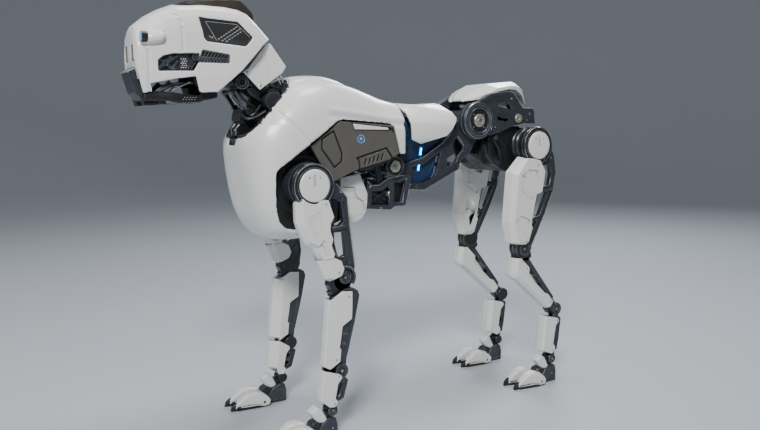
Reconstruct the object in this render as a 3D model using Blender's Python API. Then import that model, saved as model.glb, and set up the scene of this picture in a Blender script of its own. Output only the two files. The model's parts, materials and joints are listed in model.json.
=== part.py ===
"""Quadruped robot dog, standing. Metres, +Z up, head towards -Y, its left side at +X.

The design is written in millimetres in side view (Y, Z) with X across; helpers turn it into metres.
The origin is the middle of the footprint box on the floor. Each moving body hangs on an empty whose
origin is on the axis of its joint, and every joint axis runs along X.
"""

import math

import bmesh
import bpy
from mathutils import Vector

# Driving dimensions, millimetres -------------------------------------------------
SHIFT = 130.5            # puts the middle of the length on Y = 0
GAP = 0.35               # clearance between pieces that meet

SHOULDER = (-336.0, 568.0)
ELBOW = (-262.0, 360.0)
WRIST = (-273.0, 148.0)
FORE_ANKLE = (-297.0, 60.0)
HIP = (327.0, 641.0)
KNEE = (284.0, 374.0)
HOCK = (404.0, 197.0)
HIND_ANKLE = (392.0, 60.0)
SPINE_FRONT = (-91.0, 599.0)
SPINE_REAR = (158.0, 706.0)
NECK_BASE = (-378.0, 750.0)
HEAD_PIVOT = (-449.0, 790.0)
JAW_PIVOT = (-530.0, 786.0)

FORE_OUT = 158.0         # outer face of the fore legs
HIND_OUT = 134.0         # outer face of the hind legs
LEG_W = 40.0             # leg width across, covers included
WALL = 6.3               # cover wall across the leg
RING_R = 49.0            # shoulder and hip ring
CAP_R = 38.0             # white hub cap
SHELL_T = 4.5            # moulded shell thickness

for old in list(bpy.data.objects):
    bpy.data.objects.remove(old, do_unlink=True)


# Materials ------------------------------------------------------------------------
def finish(name, rgb, rough, metal=0.0, glow=0.0):
    made = bpy.data.materials.new(name)
    made.use_nodes = True
    shader = made.node_tree.nodes["Principled BSDF"]
    shader.inputs["Base Color"].default_value = (*rgb, 1.0)
    shader.inputs["Roughness"].default_value = rough
    shader.inputs["Metallic"].default_value = metal
    if glow:
        shader.inputs["Emission Color"].default_value = (*rgb, 1.0)
        shader.inputs["Emission Strength"].default_value = glow
    return made


WHITE = finish("white_shell", (0.74, 0.74, 0.72), 0.32)
TAUPE = finish("taupe_panel", (0.135, 0.125, 0.105), 0.45)
DARK = finish("dark_alloy", (0.035, 0.040, 0.050), 0.38, 0.8)
BLACK = finish("black_plastic", (0.010, 0.011, 0.013), 0.4)
GLASS = finish("smoked_glass", (0.04, 0.042, 0.045), 0.12)
CORE = finish("core_casing", (0.012, 0.03, 0.075), 0.35)


# Shape helpers ----------------------------------------------------------------------
def point(x, y, z):
    return Vector((x, y + SHIFT, z)) * 0.001


def finished(bm):
    bmesh.ops.recalc_face_normals(bm, faces=bm.faces)
    return bm


def prism(outline, x0, x1):
    """A side-view outline of (y, z) points carried across from x0 to x1."""
    bm = bmesh.new()
    rings = [[bm.verts.new(point(x, y, z)) for y, z in outline] for x in (x0, x1)]
    bm.faces.new(rings[0])
    bm.faces.new(rings[1][::-1])
    n = len(outline)
    for i in range(n):
        j = (i + 1) % n
        bm.faces.new((rings[0][i], rings[0][j], rings[1][j], rings[1][i]))
    return finished(bm)


def lengthwise(section, y0, y1):
    """A front-view outline of (x, z) points carried along Y."""
    bm = bmesh.new()
    rings = [[bm.verts.new(point(x, y, z)) for x, z in section] for y in (y0, y1)]
    bm.faces.new(rings[0])
    bm.faces.new(rings[1][::-1])
    n = len(section)
    for i in range(n):
        j = (i + 1) % n
        bm.faces.new((rings[0][i], rings[0][j], rings[1][j], rings[1][i]))
    return finished(bm)


def turned(centre, profile, seg=24):
    """A solid of revolution about an X line through centre; profile is (x, r) from one end to the other."""
    bm = bmesh.new()
    y0, z0 = centre
    rings = []
    for x, r in profile:
        ring = []
        for k in range(seg):
            a = 2 * math.pi * (k + 0.5) / seg
            ring.append(bm.verts.new(point(x, y0 + r * math.cos(a), z0 + r * math.sin(a))))
        rings.append(ring)
    bm.faces.new(rings[0])
    bm.faces.new(rings[-1][::-1])
    for low, high in zip(rings, rings[1:]):
        for k in range(seg):
            m = (k + 1) % seg
            bm.faces.new((low[k], low[m], high[m], high[k]))
    return finished(bm)


def drum(centre, r, x0, x1, seg=24):
    return turned(centre, [(x0, r), (x1, r)], seg)


def bar(a, b, width, x0, x1):
    """A flat link between two (y, z) centres."""
    (ya, za), (yb, zb) = a, b
    length = math.hypot(yb - ya, zb - za)
    ny, nz = -(zb - za) / length * width / 2, (yb - ya) / length * width / 2
    return prism([(ya + ny, za + nz), (yb + ny, zb + nz), (yb - ny, zb - nz), (ya - ny, za - nz)], x0, x1)


def loft(rings, close=True):
    """Skins equal-length rings of points; the ends are capped unless close is False."""
    bm = bmesh.new()
    made = [[bm.verts.new(p) for p in ring] for ring in rings]
    n = len(made[0])
    for low, high in zip(made, made[1:]):
        for k in range(n):
            m = (k + 1) % n
            bm.faces.new((low[k], low[m], high[m], high[k]))
    if close:
        bm.faces.new(made[0])
        bm.faces.new(made[-1][::-1])
    return finished(bm)


def helper(bm, label):
    mesh = bpy.data.meshes.new(label)
    bm.to_mesh(mesh)
    bm.free()
    made = bpy.data.objects.new(label, mesh)
    bpy.context.scene.collection.objects.link(made)
    made.hide_render = True
    made.display_type = "WIRE"
    return made


BODIES = {}


def body(name, at, parent=None):
    empty = bpy.data.objects.new("pivot_" + name, None)
    bpy.context.scene.collection.objects.link(empty)
    empty.empty_display_size = 0.03
    home = Vector((0, 0, 0)) if at is None else point(0, *at)
    if parent:
        empty.parent = BODIES[parent][0]
        empty.location = home - BODIES[parent][1]
    else:
        empty.location = home
    BODIES[name] = (empty, home)


def piece(name, owner, base, steps=(), look=WHITE, bevel=0.0):
    """One named solid: a base shape, then Boolean steps such as ("UNION", shape)."""
    start = helper(base, name + "_base")
    if bevel:
        edge = start.modifiers.new("edge", "BEVEL")
        edge.width = bevel * 0.001
        edge.segments = 1
        edge.limit_method = "ANGLE"
        edge.angle_limit = math.radians(40)
    cutters = []
    for k, (how, shape) in enumerate(steps):
        tool = helper(shape, f"{name}_tool{k}")
        cutters.append(tool)
        step = start.modifiers.new(f"{how.lower()}_{k}", "BOOLEAN")
        step.operation = how
        step.solver = "EXACT"
        step.object = tool
    graph = bpy.context.evaluated_depsgraph_get()
    graph.update()
    mesh = bpy.data.meshes.new_from_object(start.evaluated_get(graph), depsgraph=graph)
    mesh.name = name
    for helper_object in [start, *cutters]:
        bpy.data.objects.remove(helper_object, do_unlink=True)
    bm = bmesh.new()
    bm.from_mesh(mesh)
    bmesh.ops.dissolve_limit(bm, angle_limit=0.002, verts=bm.verts, edges=bm.edges)
    bmesh.ops.triangulate(bm, faces=[f for f in bm.faces if len(f.verts) > 4])
    empty, home = BODIES[owner]
    bmesh.ops.translate(bm, verts=bm.verts, vec=-home)
    bm.to_mesh(mesh)
    bm.free()
    mesh.materials.clear()
    mesh.materials.append(look)
    mesh.shade_smooth()
    mesh.set_sharp_from_angle(angle=math.radians(32))
    made = bpy.data.objects.new(name, mesh)
    bpy.context.scene.collection.objects.link(made)
    made.parent = empty
    return made


def arc(centre, r, a0, a1, n):
    """Points on a side-view arc, angles in degrees from +Y towards +Z."""
    return [(centre[0] + r * math.cos(math.radians(a0 + (a1 - a0) * k / n)),
             centre[1] + r * math.sin(math.radians(a0 + (a1 - a0) * k / n))) for k in range(n + 1)]


def mirror_x(side, x0, x1):
    return (side * x0, side * x1) if side > 0 else (side * x1, side * x0)


# Bodies -----------------------------------------------------------------------------
body("chest", None)
body("waist", SPINE_FRONT, "chest")
body("pelvis", SPINE_REAR, "waist")
body("neck", NECK_BASE, "chest")
body("head", HEAD_PIVOT, "neck")
body("jaw", JAW_PIVOT, "head")
for corner, root, joints in (
    ("front_left", "chest", (SHOULDER, ELBOW, WRIST, FORE_ANKLE)),
    ("front_right", "chest", (SHOULDER, ELBOW, WRIST, FORE_ANKLE)),
    ("rear_left", "pelvis", (HIP, KNEE, HOCK, HIND_ANKLE)),
    ("rear_right", "pelvis", (HIP, KNEE, HOCK, HIND_ANKLE)),
):
    owner = root
    for link, at in zip(("upper", "lower", "pastern", "foot"), joints):
        body(f"{corner}_{link}", at, owner)
        owner = f"{corner}_{link}"
    ankle_y = joints[3][0]
    body(f"{corner}_toes", (ankle_y - 53.0, 12.0), owner)


# Chest shell: ring stations that fan from the neck rim round to the waist rim -------------
# (top centre, bottom centre, half width, squareness)
STATIONS = [
    ((-338, 801), (-460, 668), 84, 2.5),
    ((-325, 806), (-463, 645), 103, 2.5),
    ((-298, 809), (-456, 598), 121, 2.6),
    ((-262, 809), (-447, 545), 129, 2.7),
    ((-222, 802), (-433, 492), 131, 2.7),
    ((-180, 790), (-402, 449), 130, 2.7),
    ((-142, 775), (-335, 440), 126, 2.8),
    ((-108, 761), (-236, 460), 121, 2.9),
    ((-76, 752), (-76, 560), 114, 3.0),
]


def chest_rings(inset):
    rings = []
    for (ty, tz), (by, bz), width, power in STATIONS:
        span = math.hypot(by - ty, bz - tz)
        uy, uz = (by - ty) / span, (bz - tz) / span
        ring = []
        for k in range(24):
            a = 2 * math.pi * k / 24
            c, s = math.cos(a), math.sin(a)
            full = power + (0.9 if c < 0 else 0.0)
            along = -math.copysign(abs(c) ** (2 / full), c)
            across = math.copysign(abs(s) ** (2 / full), s)
            half = span / 2 - inset
            ring.append(point(across * (width - inset),
                              ty + uy * (span / 2 + along * half),
                              tz + uz * (span / 2 + along * half)))
        rings.append(ring)
    return rings


def chest_inner():
    rings = chest_rings(SHELL_T)
    first, last = rings[0], rings[-1]
    forward = Vector((0, -0.030, 0.030))
    back = Vector((0, 0.03, 0))
    return loft([[p + forward for p in first], *rings, [p + back for p in last]])


SIDE_CUT = [(-333, 656), (-379, 623), (-410, 600), (-412, 567), (-408, 526), (-398, 490), (-372, 466), (-345, 451), (-330, 380),
            (-150, 380), (-150, 500), (-88, 627), (-94, 633), (-111, 699), (-255, 709)]
BELLY_CUT = [(-238, 380), (-238, 586), (-208, 596), (-122, 616), (-96, 628), (-40, 630), (-40, 380)]
NOTCH = [(-480, 655), (-425, 655), (-425, 730), (-480, 730)]
piece("chest_shell", "chest", loft(chest_rings(0)), [
    ("DIFFERENCE", chest_inner()),
    ("DIFFERENCE", prism(SIDE_CUT, 99, 160)),
    ("DIFFERENCE", prism(SIDE_CUT, -160, -99)),
    ("DIFFERENCE", prism(BELLY_CUT, -160, 160)),
    ("DIFFERENCE", prism(NOTCH, -19, 19)),
])

CHEST_CORE = [(-398, 600), (-372, 500), (-330, 470), (-242, 500), (-242, 588), (-140, 592), (-128, 620), (-128, 700),
              (-240, 748), (-300, 742), (-345, 690), (-420, 640)]


def ear(centre, root, r, width, x0, x1, seg=20):
    return [("UNION", drum(centre, r, x0, x1, seg)), ("UNION", bar(centre, root, width, x0, x1))]


chest_steps = [("UNION", drum(SHOULDER, 50, -128.6, 128.6, 28))]
for s in (-1, 1):
    chest_steps += ear(SPINE_FRONT, (-150, 640), 17, 26, *mirror_x(s, 70.5, 80))
    chest_steps += [("UNION", prism([(-160, 615), (-135, 615), (-135, 665), (-160, 665)], *mirror_x(s, 60, 80)))]
    chest_steps += ear(NECK_BASE, (-345, 690), 20, 30, *mirror_x(s, 24, 44))
chest_steps += [("UNION", prism([(-459, 668), (-428, 668), (-400, 640), (-400, 600), (-430, 630), (-440, 655), (-456, 655)], -16, 16))]
piece("chest_frame", "chest", prism(CHEST_CORE, -69, 69), chest_steps, DARK)

PANEL = [(-327, 652), (-254, 705.5), (-113, 695.5), (-97, 632), (-122, 618), (-210, 598), (-245, 584), (-270, 573), (-303, 612)]
for side, word in ((1, "left"), (-1, "right")):
    piece(f"side_panel_{word}", "chest", prism(PANEL, *mirror_x(side, 112, 120.5)), [], TAUPE, 1.0)

FAIRING = [(-300, 470), (-236, 470), (-211, 469), (-171, 486), (-162, 536), (-183, 586), (-233, 579), (-233, 486), (-300, 486)]
piece("belly_fairing", "chest", prism([(-236, 471), (-211, 469), (-171, 486), (-162, 536), (-183, 586), (-236, 578)], -84, 84),
      [("DIFFERENCE", prism([(-290, 477), (-213, 475), (-177, 490), (-168.5, 536), (-186, 576), (-187, 620), (-290, 620)], -78, 78))],
      WHITE, 3.0)

GUARD = [(-159, 500), (-97, 494), (-84, 502), (-53, 502), (-39, 554), (-39, 575), (-60, 577), (-105, 570), (-127, 556), (-149, 556), (-161, 568)]
guard_steps = []
for s in (-1, 1):
    guard_steps.append(("UNION", prism(GUARD, *mirror_x(s, 68.5, 78))))
for s in (-1, 1):
    guard_steps.append(("DIFFERENCE", prism([(-147, 510), (-97, 507), (-97, 552), (-121, 542), (-147, 542)], *mirror_x(s, 65, 82))))
    guard_steps.append(("DIFFERENCE", prism([(-85, 514), (-63, 514), (-52, 554), (-52, 562), (-85, 560)], *mirror_x(s, 65, 82))))
guard_steps.append(("UNION", drum((-154, 550), 5, -72, 72, 10)))
guard_steps.append(("UNION", drum((-119, 555), 5, -72, 72, 10)))
piece("belly_guard", "chest", drum((-91, 504), 5, -72, 72, 10), guard_steps, DARK)

# Waist ---------------------------------------------------------------------------------
TRUSS = [(-88, 616), (-44, 605), (-33, 607), (7, 618), (66, 652), (100, 690), (134, 722), (158, 738), (180, 730), (190, 706),
         (182, 668), (176, 640), (152, 618), (124, 600), (116, 582), (10, 536), (-36, 539), (-46, 560), (-88, 582)]
FRONT_WINDOW = [(-26, 595), (7, 601), (58, 630), (47, 575), (38, 565), (7, 554), (-28, 556)]
REAR_WINDOW = [(111, 668), (131, 645), (131, 634), (116, 620), (108, 604), (99, 598), (79, 591), (79, 612), (97, 624), (94, 652)]
truss_steps = []
for s in (-1, 1):
    truss_steps += [("UNION", prism(TRUSS, *mirror_x(s, 55, 66))),
                    ("UNION", drum(SPINE_FRONT, 16.5, *mirror_x(s, 51, 68), 20))]
for s in (-1, 1):
    truss_steps += [("DIFFERENCE", prism(FRONT_WINDOW, *mirror_x(s, 50, 70))),
                    ("DIFFERENCE", prism(REAR_WINDOW, *mirror_x(s, 50, 70)))]
truss_steps += [("UNION", drum((112, 592), 6, -60, 60, 10))]
piece("waist_truss", "waist", drum((88, 664), 5, -60, 60, 10), truss_steps, DARK)

piece("waist_core", "waist", prism([(-82, 690), (-60, 718), (30, 712), (78, 690), (78, 660), (62, 640), (42, 572), (8, 549), (-30, 552), (-52, 572), (-62, 600), (-78, 640)], -49, 49),
      [("UNION", lengthwise([(-90, 650), (-90, 698), (-70, 722), (-40, 735), (40, 735), (70, 722), (90, 698), (90, 650), (84, 650), (84, 695), (66, 716), (38, 728), (-38, 728), (-66, 716), (-84, 695), (-84, 650)], -96, -58)),
       ("UNION", prism([(-70, 700), (-40, 700), (-40, 733), (-70, 733)], -12, 12))],
      CORE)

WAIST_SIDE = [(-62, 749), (-50, 708), (-46, 663), (-20, 650), (32, 671), (90, 713), (66, 750), (16, 745), (-15, 746)]
WAIST_SECTION = [(-90, 640), (-97, 668), (-97, 700), (-82, 727), (-45, 746), (-20, 752), (20, 752), (45, 746), (82, 727), (97, 700), (97, 668), (90, 640)]
WAIST_INNER = [(-82, 620), (-92, 668), (-92, 698), (-79, 722), (-43, 740), (-20, 742), (20, 742), (43, 740), (79, 722), (92, 698), (92, 668), (82, 620)]
piece("waist_shell", "waist", lengthwise(WAIST_SECTION, -80, 120), [
    ("INTERSECT", prism(WAIST_SIDE, -120, 120)),
    ("DIFFERENCE", lengthwise(WAIST_INNER, -100, 140)),
])

# Pelvis -----------------------------------------------------------------------------------
BOWL = [(202, 656), (202, 619), (222, 595), (258, 571), (295, 565), (325, 577), (354, 610), (366, 640), (356, 668), (300, 690), (240, 690)]
BRACKET = [(158, 750), (204, 772), (262, 779), (280, 776), (314, 736), (346, 738), (362, 724), (348, 694), (285, 688), (223, 684), (176, 664)]
pelvis_steps = [("UNION", drum(HIP, 47, -104.6, 104.6, 28)), ("UNION", drum(SPINE_REAR, 24, -50, 50, 20)),
                ("UNION", prism([(150, 730), (150, 690), (215, 664), (215, 730)], -50, 50))]
for s in (-1, 1):
    pelvis_steps += [("UNION", drum(SPINE_REAR, 45, *mirror_x(s, 70, 100), 28)),
                     ("UNION", prism(BRACKET, *mirror_x(s, 72, 90)))]
for s in (-1, 1):
    pelvis_steps += [("DIFFERENCE", prism([(222, 746), (266, 752), (286, 730), (238, 722)], *mirror_x(s, 68, 95))),
                     ("DIFFERENCE", prism([(216, 712), (256, 718), (262, 704), (222, 698)], *mirror_x(s, 68, 95)))]
pelvis_steps += [("UNION", prism([(222, 690), (300, 690), (300, 722), (222, 722)], -80, -66)),
                 ("UNION", prism([(222, 690), (300, 690), (300, 722), (222, 722)], 66, 80))]
piece("pelvis_frame", "pelvis", prism(BOWL, -78, 78), pelvis_steps, DARK)

RUMP_SIDE = [(158, 757), (222, 797), (313, 805), (322, 797), (342, 750), (333, 746), (308, 772), (290, 784),
             (262, 786), (203, 779), (172, 762)]
RUMP_SECTION = [(-88, 735), (-88, 772), (-60, 796), (-44, 812), (44, 812), (60, 796), (88, 772), (88, 735)]
RUMP_PLAN = [(-40, 150), (40, 150), (88, 205), (88, 268), (54, 360), (-54, 360), (-88, 268), (-88, 205)]
RUMP_HOLLOW = [(214, 700), (214, 785), (232, 792), (309, 799.5), (316, 794), (340, 746), (340, 700)]


def flat(plan, z0, z1):
    """A plan-view outline of (x, y) points carried up from z0 to z1."""
    bm = bmesh.new()
    rings = [[bm.verts.new(point(x, y, z)) for x, y in plan] for z in (z0, z1)]
    bm.faces.new(rings[0])
    bm.faces.new(rings[1][::-1])
    n = len(plan)
    for i in range(n):
        j = (i + 1) % n
        bm.faces.new((rings[0][i], rings[0][j], rings[1][j], rings[1][i]))
    return finished(bm)


piece("rump_cover", "pelvis", lengthwise(RUMP_SECTION, 60, 420), [
    ("INTERSECT", prism(RUMP_SIDE, -120, 120)),
    ("INTERSECT", flat(RUMP_PLAN, 700, 850)),
    ("DIFFERENCE", prism(RUMP_HOLLOW, -50, 50)),
])

# Neck -------------------------------------------------------------------------------------
piece("neck_frame", "neck", bar(NECK_BASE, HEAD_PIVOT, 30, -17, 17), [
    ("UNION", drum(NECK_BASE, 19, -23.4, 23.4, 20)),
    ("UNION", drum(HEAD_PIVOT, 15, -18, 18, 20)),
    ("UNION", prism([(-430, 790), (-396, 770), (-366, 822), (-388, 848)], -30, 30)),
], DARK)
PLATE = [(-436, 821), (-396, 871), (-384, 876), (-331, 827), (-340, 813), (-410, 774), (-448, 812)]
piece("neck_plate", "neck", prism(PLATE, -45, 45), [
    ("DIFFERENCE", prism([(-470, 800), (-430, 810), (-388, 866 - 4), (-344, 824), (-352, 800), (-420, 740)], -39.5, 39.5)),
], WHITE, 2.0)
piece("neck_rods", "neck", drum((-466, 770), 4.5, -26, 26, 12), [
    ("UNION", bar((-466, 770), (-443, 731), 6, 20, 26)),
    ("UNION", bar((-466, 770), (-443, 731), 6, -26, -20)),
    ("UNION", drum((-443, 731), 4.5, -26, 26, 12)),
], BLACK)

# Head ---------------------------------------------------------------------------------------
HEAD_STATIONS = [(-678, 40, 880), (-672, 52, 899), (-645, 57, 921), (-620, 60, 935), (-590, 62, 947), (-537, 64, 952),
                 (-485, 65, 951), (-455, 65, 947), (-437, 65, 940), (-417, 65, 922), (-378, 64, 882)]


def head_rings(inset, drop=0.0, floor=735.0, ends=0.0):
    rings = []
    for y, half, top in HEAD_STATIONS:
        w, t = half - inset, top - inset - drop
        profile = [(w - 6, floor), (w, floor + 60), (w, t - 52), (w - 3, t - 30), (w - 12, t - 12), (w - 28, t - 2.5), (0, t)]
        ring = [point(x, y, z) for x, z in profile] + [point(-x, y, z) for x, z in profile[-2::-1]]
        rings.append(ring)
    if ends:
        rings = rings[1:]
        rings[0] = [p + Vector((0, 0.0045, 0)) for p in rings[0]]
        rings.append([p + Vector((0, 0.06, -0.06)) for p in rings[-1]])
    return rings


HEAD_SIDE = [(-676, 815), (-677, 853), (-675, 893), (-672, 960), (-360, 960), (-383, 886), (-407, 869), (-457, 814), (-511, 768), (-546, 766), (-552, 770),
             (-556, 799), (-600, 793), (-650, 783), (-647, 766), (-664, 764)]
RECESS = [(-634, 808), (-634, 831), (-627, 837), (-605, 844), (-549, 847), (-549, 855), (-486, 846), (-486, 826), (-553, 826), (-562, 810)]
WINDOW = [(-546, 918), (-465, 918), (-433, 884), (-448, 864), (-532, 870), (-539, 879)]
head_steps = [("INTERSECT", prism(HEAD_SIDE, -80, 80)),
              ("DIFFERENCE", loft(head_rings(4.5, ends=1.0, floor=720.0))),
              ("DIFFERENCE", prism([(-700, 740), (-650, 740), (-650, 816), (-700, 816)], -33, 33))]
for s in (-1, 1):
    head_steps += [("DIFFERENCE", prism(RECESS, *mirror_x(s, 54, 80))),
                   ("DIFFERENCE", prism(WINDOW, *mirror_x(s, 50, 80)))]
piece("head_shell", "head", loft(head_rings(0)), head_steps)

inner_window = [(-543.5, 915.5), (-466, 915.5), (-436.5, 884), (-449.5, 866.5), (-530, 872.3), (-536, 880)]
for side, word in ((1, "left"), (-1, "right")):
    piece(f"head_window_{word}", "head", prism(inner_window, *mirror_x(side, 57.5, 62.5)), [], GLASS)

HEAD_CORE = [(-640, 802), (-644, 860), (-612, 885), (-540, 900), (-462, 892), (-446, 870), (-466, 836), (-500, 806), (-556, 803), (-600, 800)]
core_steps = [("UNION", drum((-534, 815), 9, -53, 53, 12)), ("UNION", drum(HEAD_PIVOT, 15, 19, 34, 20)), ("UNION", drum(HEAD_PIVOT, 15, -34, -19, 20)),
              ("UNION", bar(HEAD_PIVOT, (-500, 826), 24, 19, 34)), ("UNION", bar(HEAD_PIVOT, (-500, 826), 24, -34, -19)),
              ("DIFFERENCE", prism([(-560, 700), (-560, 797), (-500, 797), (-500, 700)], -70, 70)),
              ("UNION", prism([(-560, 806), (-560, 792), (-556, 780), (-520, 780), (-512, 812)], 50.2, 55)),
              ("UNION", prism([(-560, 806), (-560, 792), (-556, 780), (-520, 780), (-512, 812)], -55, -50.2))]
piece("head_core", "head", prism(HEAD_CORE, -49, 49), core_steps, BLACK)

CREST = [(-574, 945), (-560, 955), (-488, 966.5), (-448, 969), (-427, 962), (-402, 935), (-398, 915), (-420, 900), (-574, 930)]
piece("head_crest", "head", prism(CREST, -33, 33), [("DIFFERENCE", loft(head_rings(-GAP)))], BLACK)

JAW = [(-686, 808), (-670, 816), (-660, 816), (-656, 800), (-640, 772), (-610, 772), (-560, 772), (-552, 760), (-520, 762), (-509, 768), (-508, 757),
       (-548, 746), (-592, 742), (-618, 747), (-661, 747), (-677, 765)]
piece("jaw", "jaw", prism(JAW, -30, 30), [
    ("UNION", prism([(-652, 747), (-640, 768), (-560, 766), (-552, 759), (-509, 766), (-508, 757), (-548, 746), (-592, 742)], -49, 49)),
    ("UNION", drum(JAW_PIVOT, 9, 42, 49.6, 16)), ("UNION", drum(JAW_PIVOT, 9, -49.6, -42, 16)),
    ("UNION", prism([(-545, 755), (-538, 788), (-522, 788), (-512, 764)], 42, 49)),
    ("UNION", prism([(-545, 755), (-538, 788), (-522, 788), (-512, 764)], -49, -42)),
], BLACK, 0.0)


# Legs -----------------------------------------------------------------------------------------
def layers(side, out):
    """X ranges of one leg, from the body side outwards."""
    return {
        "cover": mirror_x(side, out - LEG_W, out),
        "inner": mirror_x(side, out - 44, out - 28.9),
        "behind": mirror_x(side, out - 30, out - 2.2),
        "hollow": mirror_x(side, out - LEG_W + WALL - 0.3, out - WALL),
        "frame": mirror_x(side, out - 33, out - 7),
        "tongue": mirror_x(side, out - 27, out - 13),
        "ear_in": mirror_x(side, out - 33, out - 27.4),
        "ear_out": mirror_x(side, out - 12.6, out - 7),
        "ring": mirror_x(side, out - 28.8, out - 8.5),
        "cap": mirror_x(side, out - 8.1, out - 2.6),
    }


def knuckle(centre, root, r, width, lay):
    steps = []
    for name in ("ear_in", "ear_out"):
        steps += [("UNION", drum(centre, r, *lay[name], 18)), ("UNION", bar(centre, root, width, *lay[name]))]
    return steps


def foot(corner, side, out, ankle, lay):
    y = ankle[0]
    mid = side * (out - 20)
    heel = [(y - 22, 44), (y + 5, 43), (y + 8, 30), (y + 9, 0), (y - 36, 0), (y - 36, 30)]
    inner, outer = sorted((mid - side * 19, mid + side * 19))
    knob = sorted((mid - 3.6, mid + 3.6))
    steps = knuckle(ankle, (y - 6, 40), 12.5, 22, lay)
    steps += [("UNION", prism([(y - 30, 40), (y - 30, 2), (y - 52, 3), (y - 60, 12), (y - 53, 22), (y - 42, 30)], *knob))]
    piece(f"{corner}_foot_frame", f"{corner}_foot", prism(heel, inner, outer), steps, DARK)
    toe = [(y - 146, 2), (y - 143, 15), (y - 104, 38), (y - 77, 42), (y - 60, 37), (y - 46, 25), (y - 39, 12), (y - 43, 2), (y - 54, 0), (y - 140, 0)]
    for word, a, b in (("outer", 4.2, 38), ("inner", -38, -4.2)):
        x0, x1 = sorted((mid + side * a, mid + side * b))
        piece(f"{corner}_toe_{word}", f"{corner}_toes", prism(toe, x0, x1), [], WHITE, 4.0)


def fore_leg(corner, side):
    lay = layers(side, FORE_OUT)
    frame = [(-366, 560), (-300, 596), (-281, 573), (-250, 538), (-244, 470), (-234, 381), (-240, 350), (-280, 352), (-298, 372), (-320, 420), (-362, 500)]
    steps = [("UNION", drum(SHOULDER, RING_R, *lay["ring"], 28)), ("UNION", drum(ELBOW, 19, *lay["tongue"], 20))]
    wide = mirror_x(side, FORE_OUT - 40, FORE_OUT)
    for hole in ([(-296, 536), (-266, 528), (-259, 478), (-290, 478)], [(-288, 464), (-257, 464), (-250, 398), (-272, 398)]):
        steps.append(("DIFFERENCE", prism(hole, *wide)))
    steps.append(("UNION", drum((-345, 480), 6, *mirror_x(side, FORE_OUT - 20, FORE_OUT - 6.7), 10)))
    piece(f"{corner}_upper_frame", f"{corner}_upper", prism(frame, *lay["tongue"]), steps, DARK)
    cover = [(-378, 531), (-353, 533), (-338, 537), (-322, 541), (-304, 535), (-291, 498), (-299, 485), (-301, 469), (-294, 448), (-298, 436),
             (-290, 415), (-293, 409), (-274, 399), (-267, 380), (-274, 366), (-298, 358), (-312, 361), (-326, 398), (-337, 426), (-350, 436),
             (-356, 444), (-376, 486)]
    piece(f"{corner}_upper_cover", f"{corner}_upper", prism(cover, *lay["cover"]), [
        ("DIFFERENCE", prism([(-370, 600), (-369, 488), (-350, 449), (-331, 430), (-319, 399), (-305, 366), (-303, 340), (-200, 340), (-200, 600)], *lay["hollow"])),
        ("DIFFERENCE", drum(SHOULDER, 54, *lay["inner"], 28)),
        ("DIFFERENCE", drum(SHOULDER, CAP_R + 2.5, *lay["behind"], 28)),
    ], WHITE, 2.0)
    piece(f"{corner}_hub_cap", f"{corner}_upper", drum(SHOULDER, CAP_R, *lay["cap"], 28), [], WHITE, 1.5)

    body_ = [(-290, 330), (-244, 334), (-229, 327), (-225, 316), (-237, 260), (-259, 178), (-266, 168), (-282, 168), (-298, 200), (-300, 300)]
    steps = knuckle(ELBOW, (-264, 322), 17, 26, lay)
    steps += [("UNION", bar((-270, 178), WRIST, 20, *lay["tongue"])), ("UNION", drum(WRIST, 14, *lay["tongue"], 18))]
    piece(f"{corner}_lower_frame", f"{corner}_lower", prism(body_, *lay["frame"]), steps, DARK)
    cover = [(-309, 317), (-299, 313), (-273, 331), (-250, 329), (-249, 267), (-273, 254), (-278, 225), (-282, 207), (-278, 200), (-280, 173), (-297, 162),
             (-311, 157), (-323, 167)]
    piece(f"{corner}_lower_cover", f"{corner}_lower", prism(cover, *lay["cover"]), [
        ("DIFFERENCE", prism([(-302, 400), (-302, 314), (-316, 169), (-316, 100), (-200, 100), (-200, 400)], *lay["hollow"])),
    ], WHITE, 2.0)

    body_ = [(-300, 126), (-256, 130), (-255, 124), (-266, 84), (-282, 79), (-306, 79)]
    steps = knuckle(WRIST, (-276, 122), 13, 20, lay)
    steps += [("UNION", bar((-290, 88), FORE_ANKLE, 18, *lay["tongue"])), ("UNION", drum(FORE_ANKLE, 12.5, *lay["tongue"], 18))]
    piece(f"{corner}_pastern_frame", f"{corner}_pastern", prism(body_, *lay["frame"]), steps, DARK)
    cover = [(-323, 158), (-284, 145), (-277, 133), (-287, 121), (-293, 90), (-289, 82), (-295, 70), (-309, 71), (-332, 90)]
    piece(f"{corner}_pastern_cover", f"{corner}_pastern", prism(cover, *lay["cover"]), [
        ("DIFFERENCE", prism([(-315, 220), (-315.5, 158), (-324, 96), (-308, 40), (-200, 40), (-200, 220)], *lay["hollow"])),
    ], WHITE, 2.0)
    foot(corner, side, FORE_OUT, FORE_ANKLE, lay)


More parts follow.
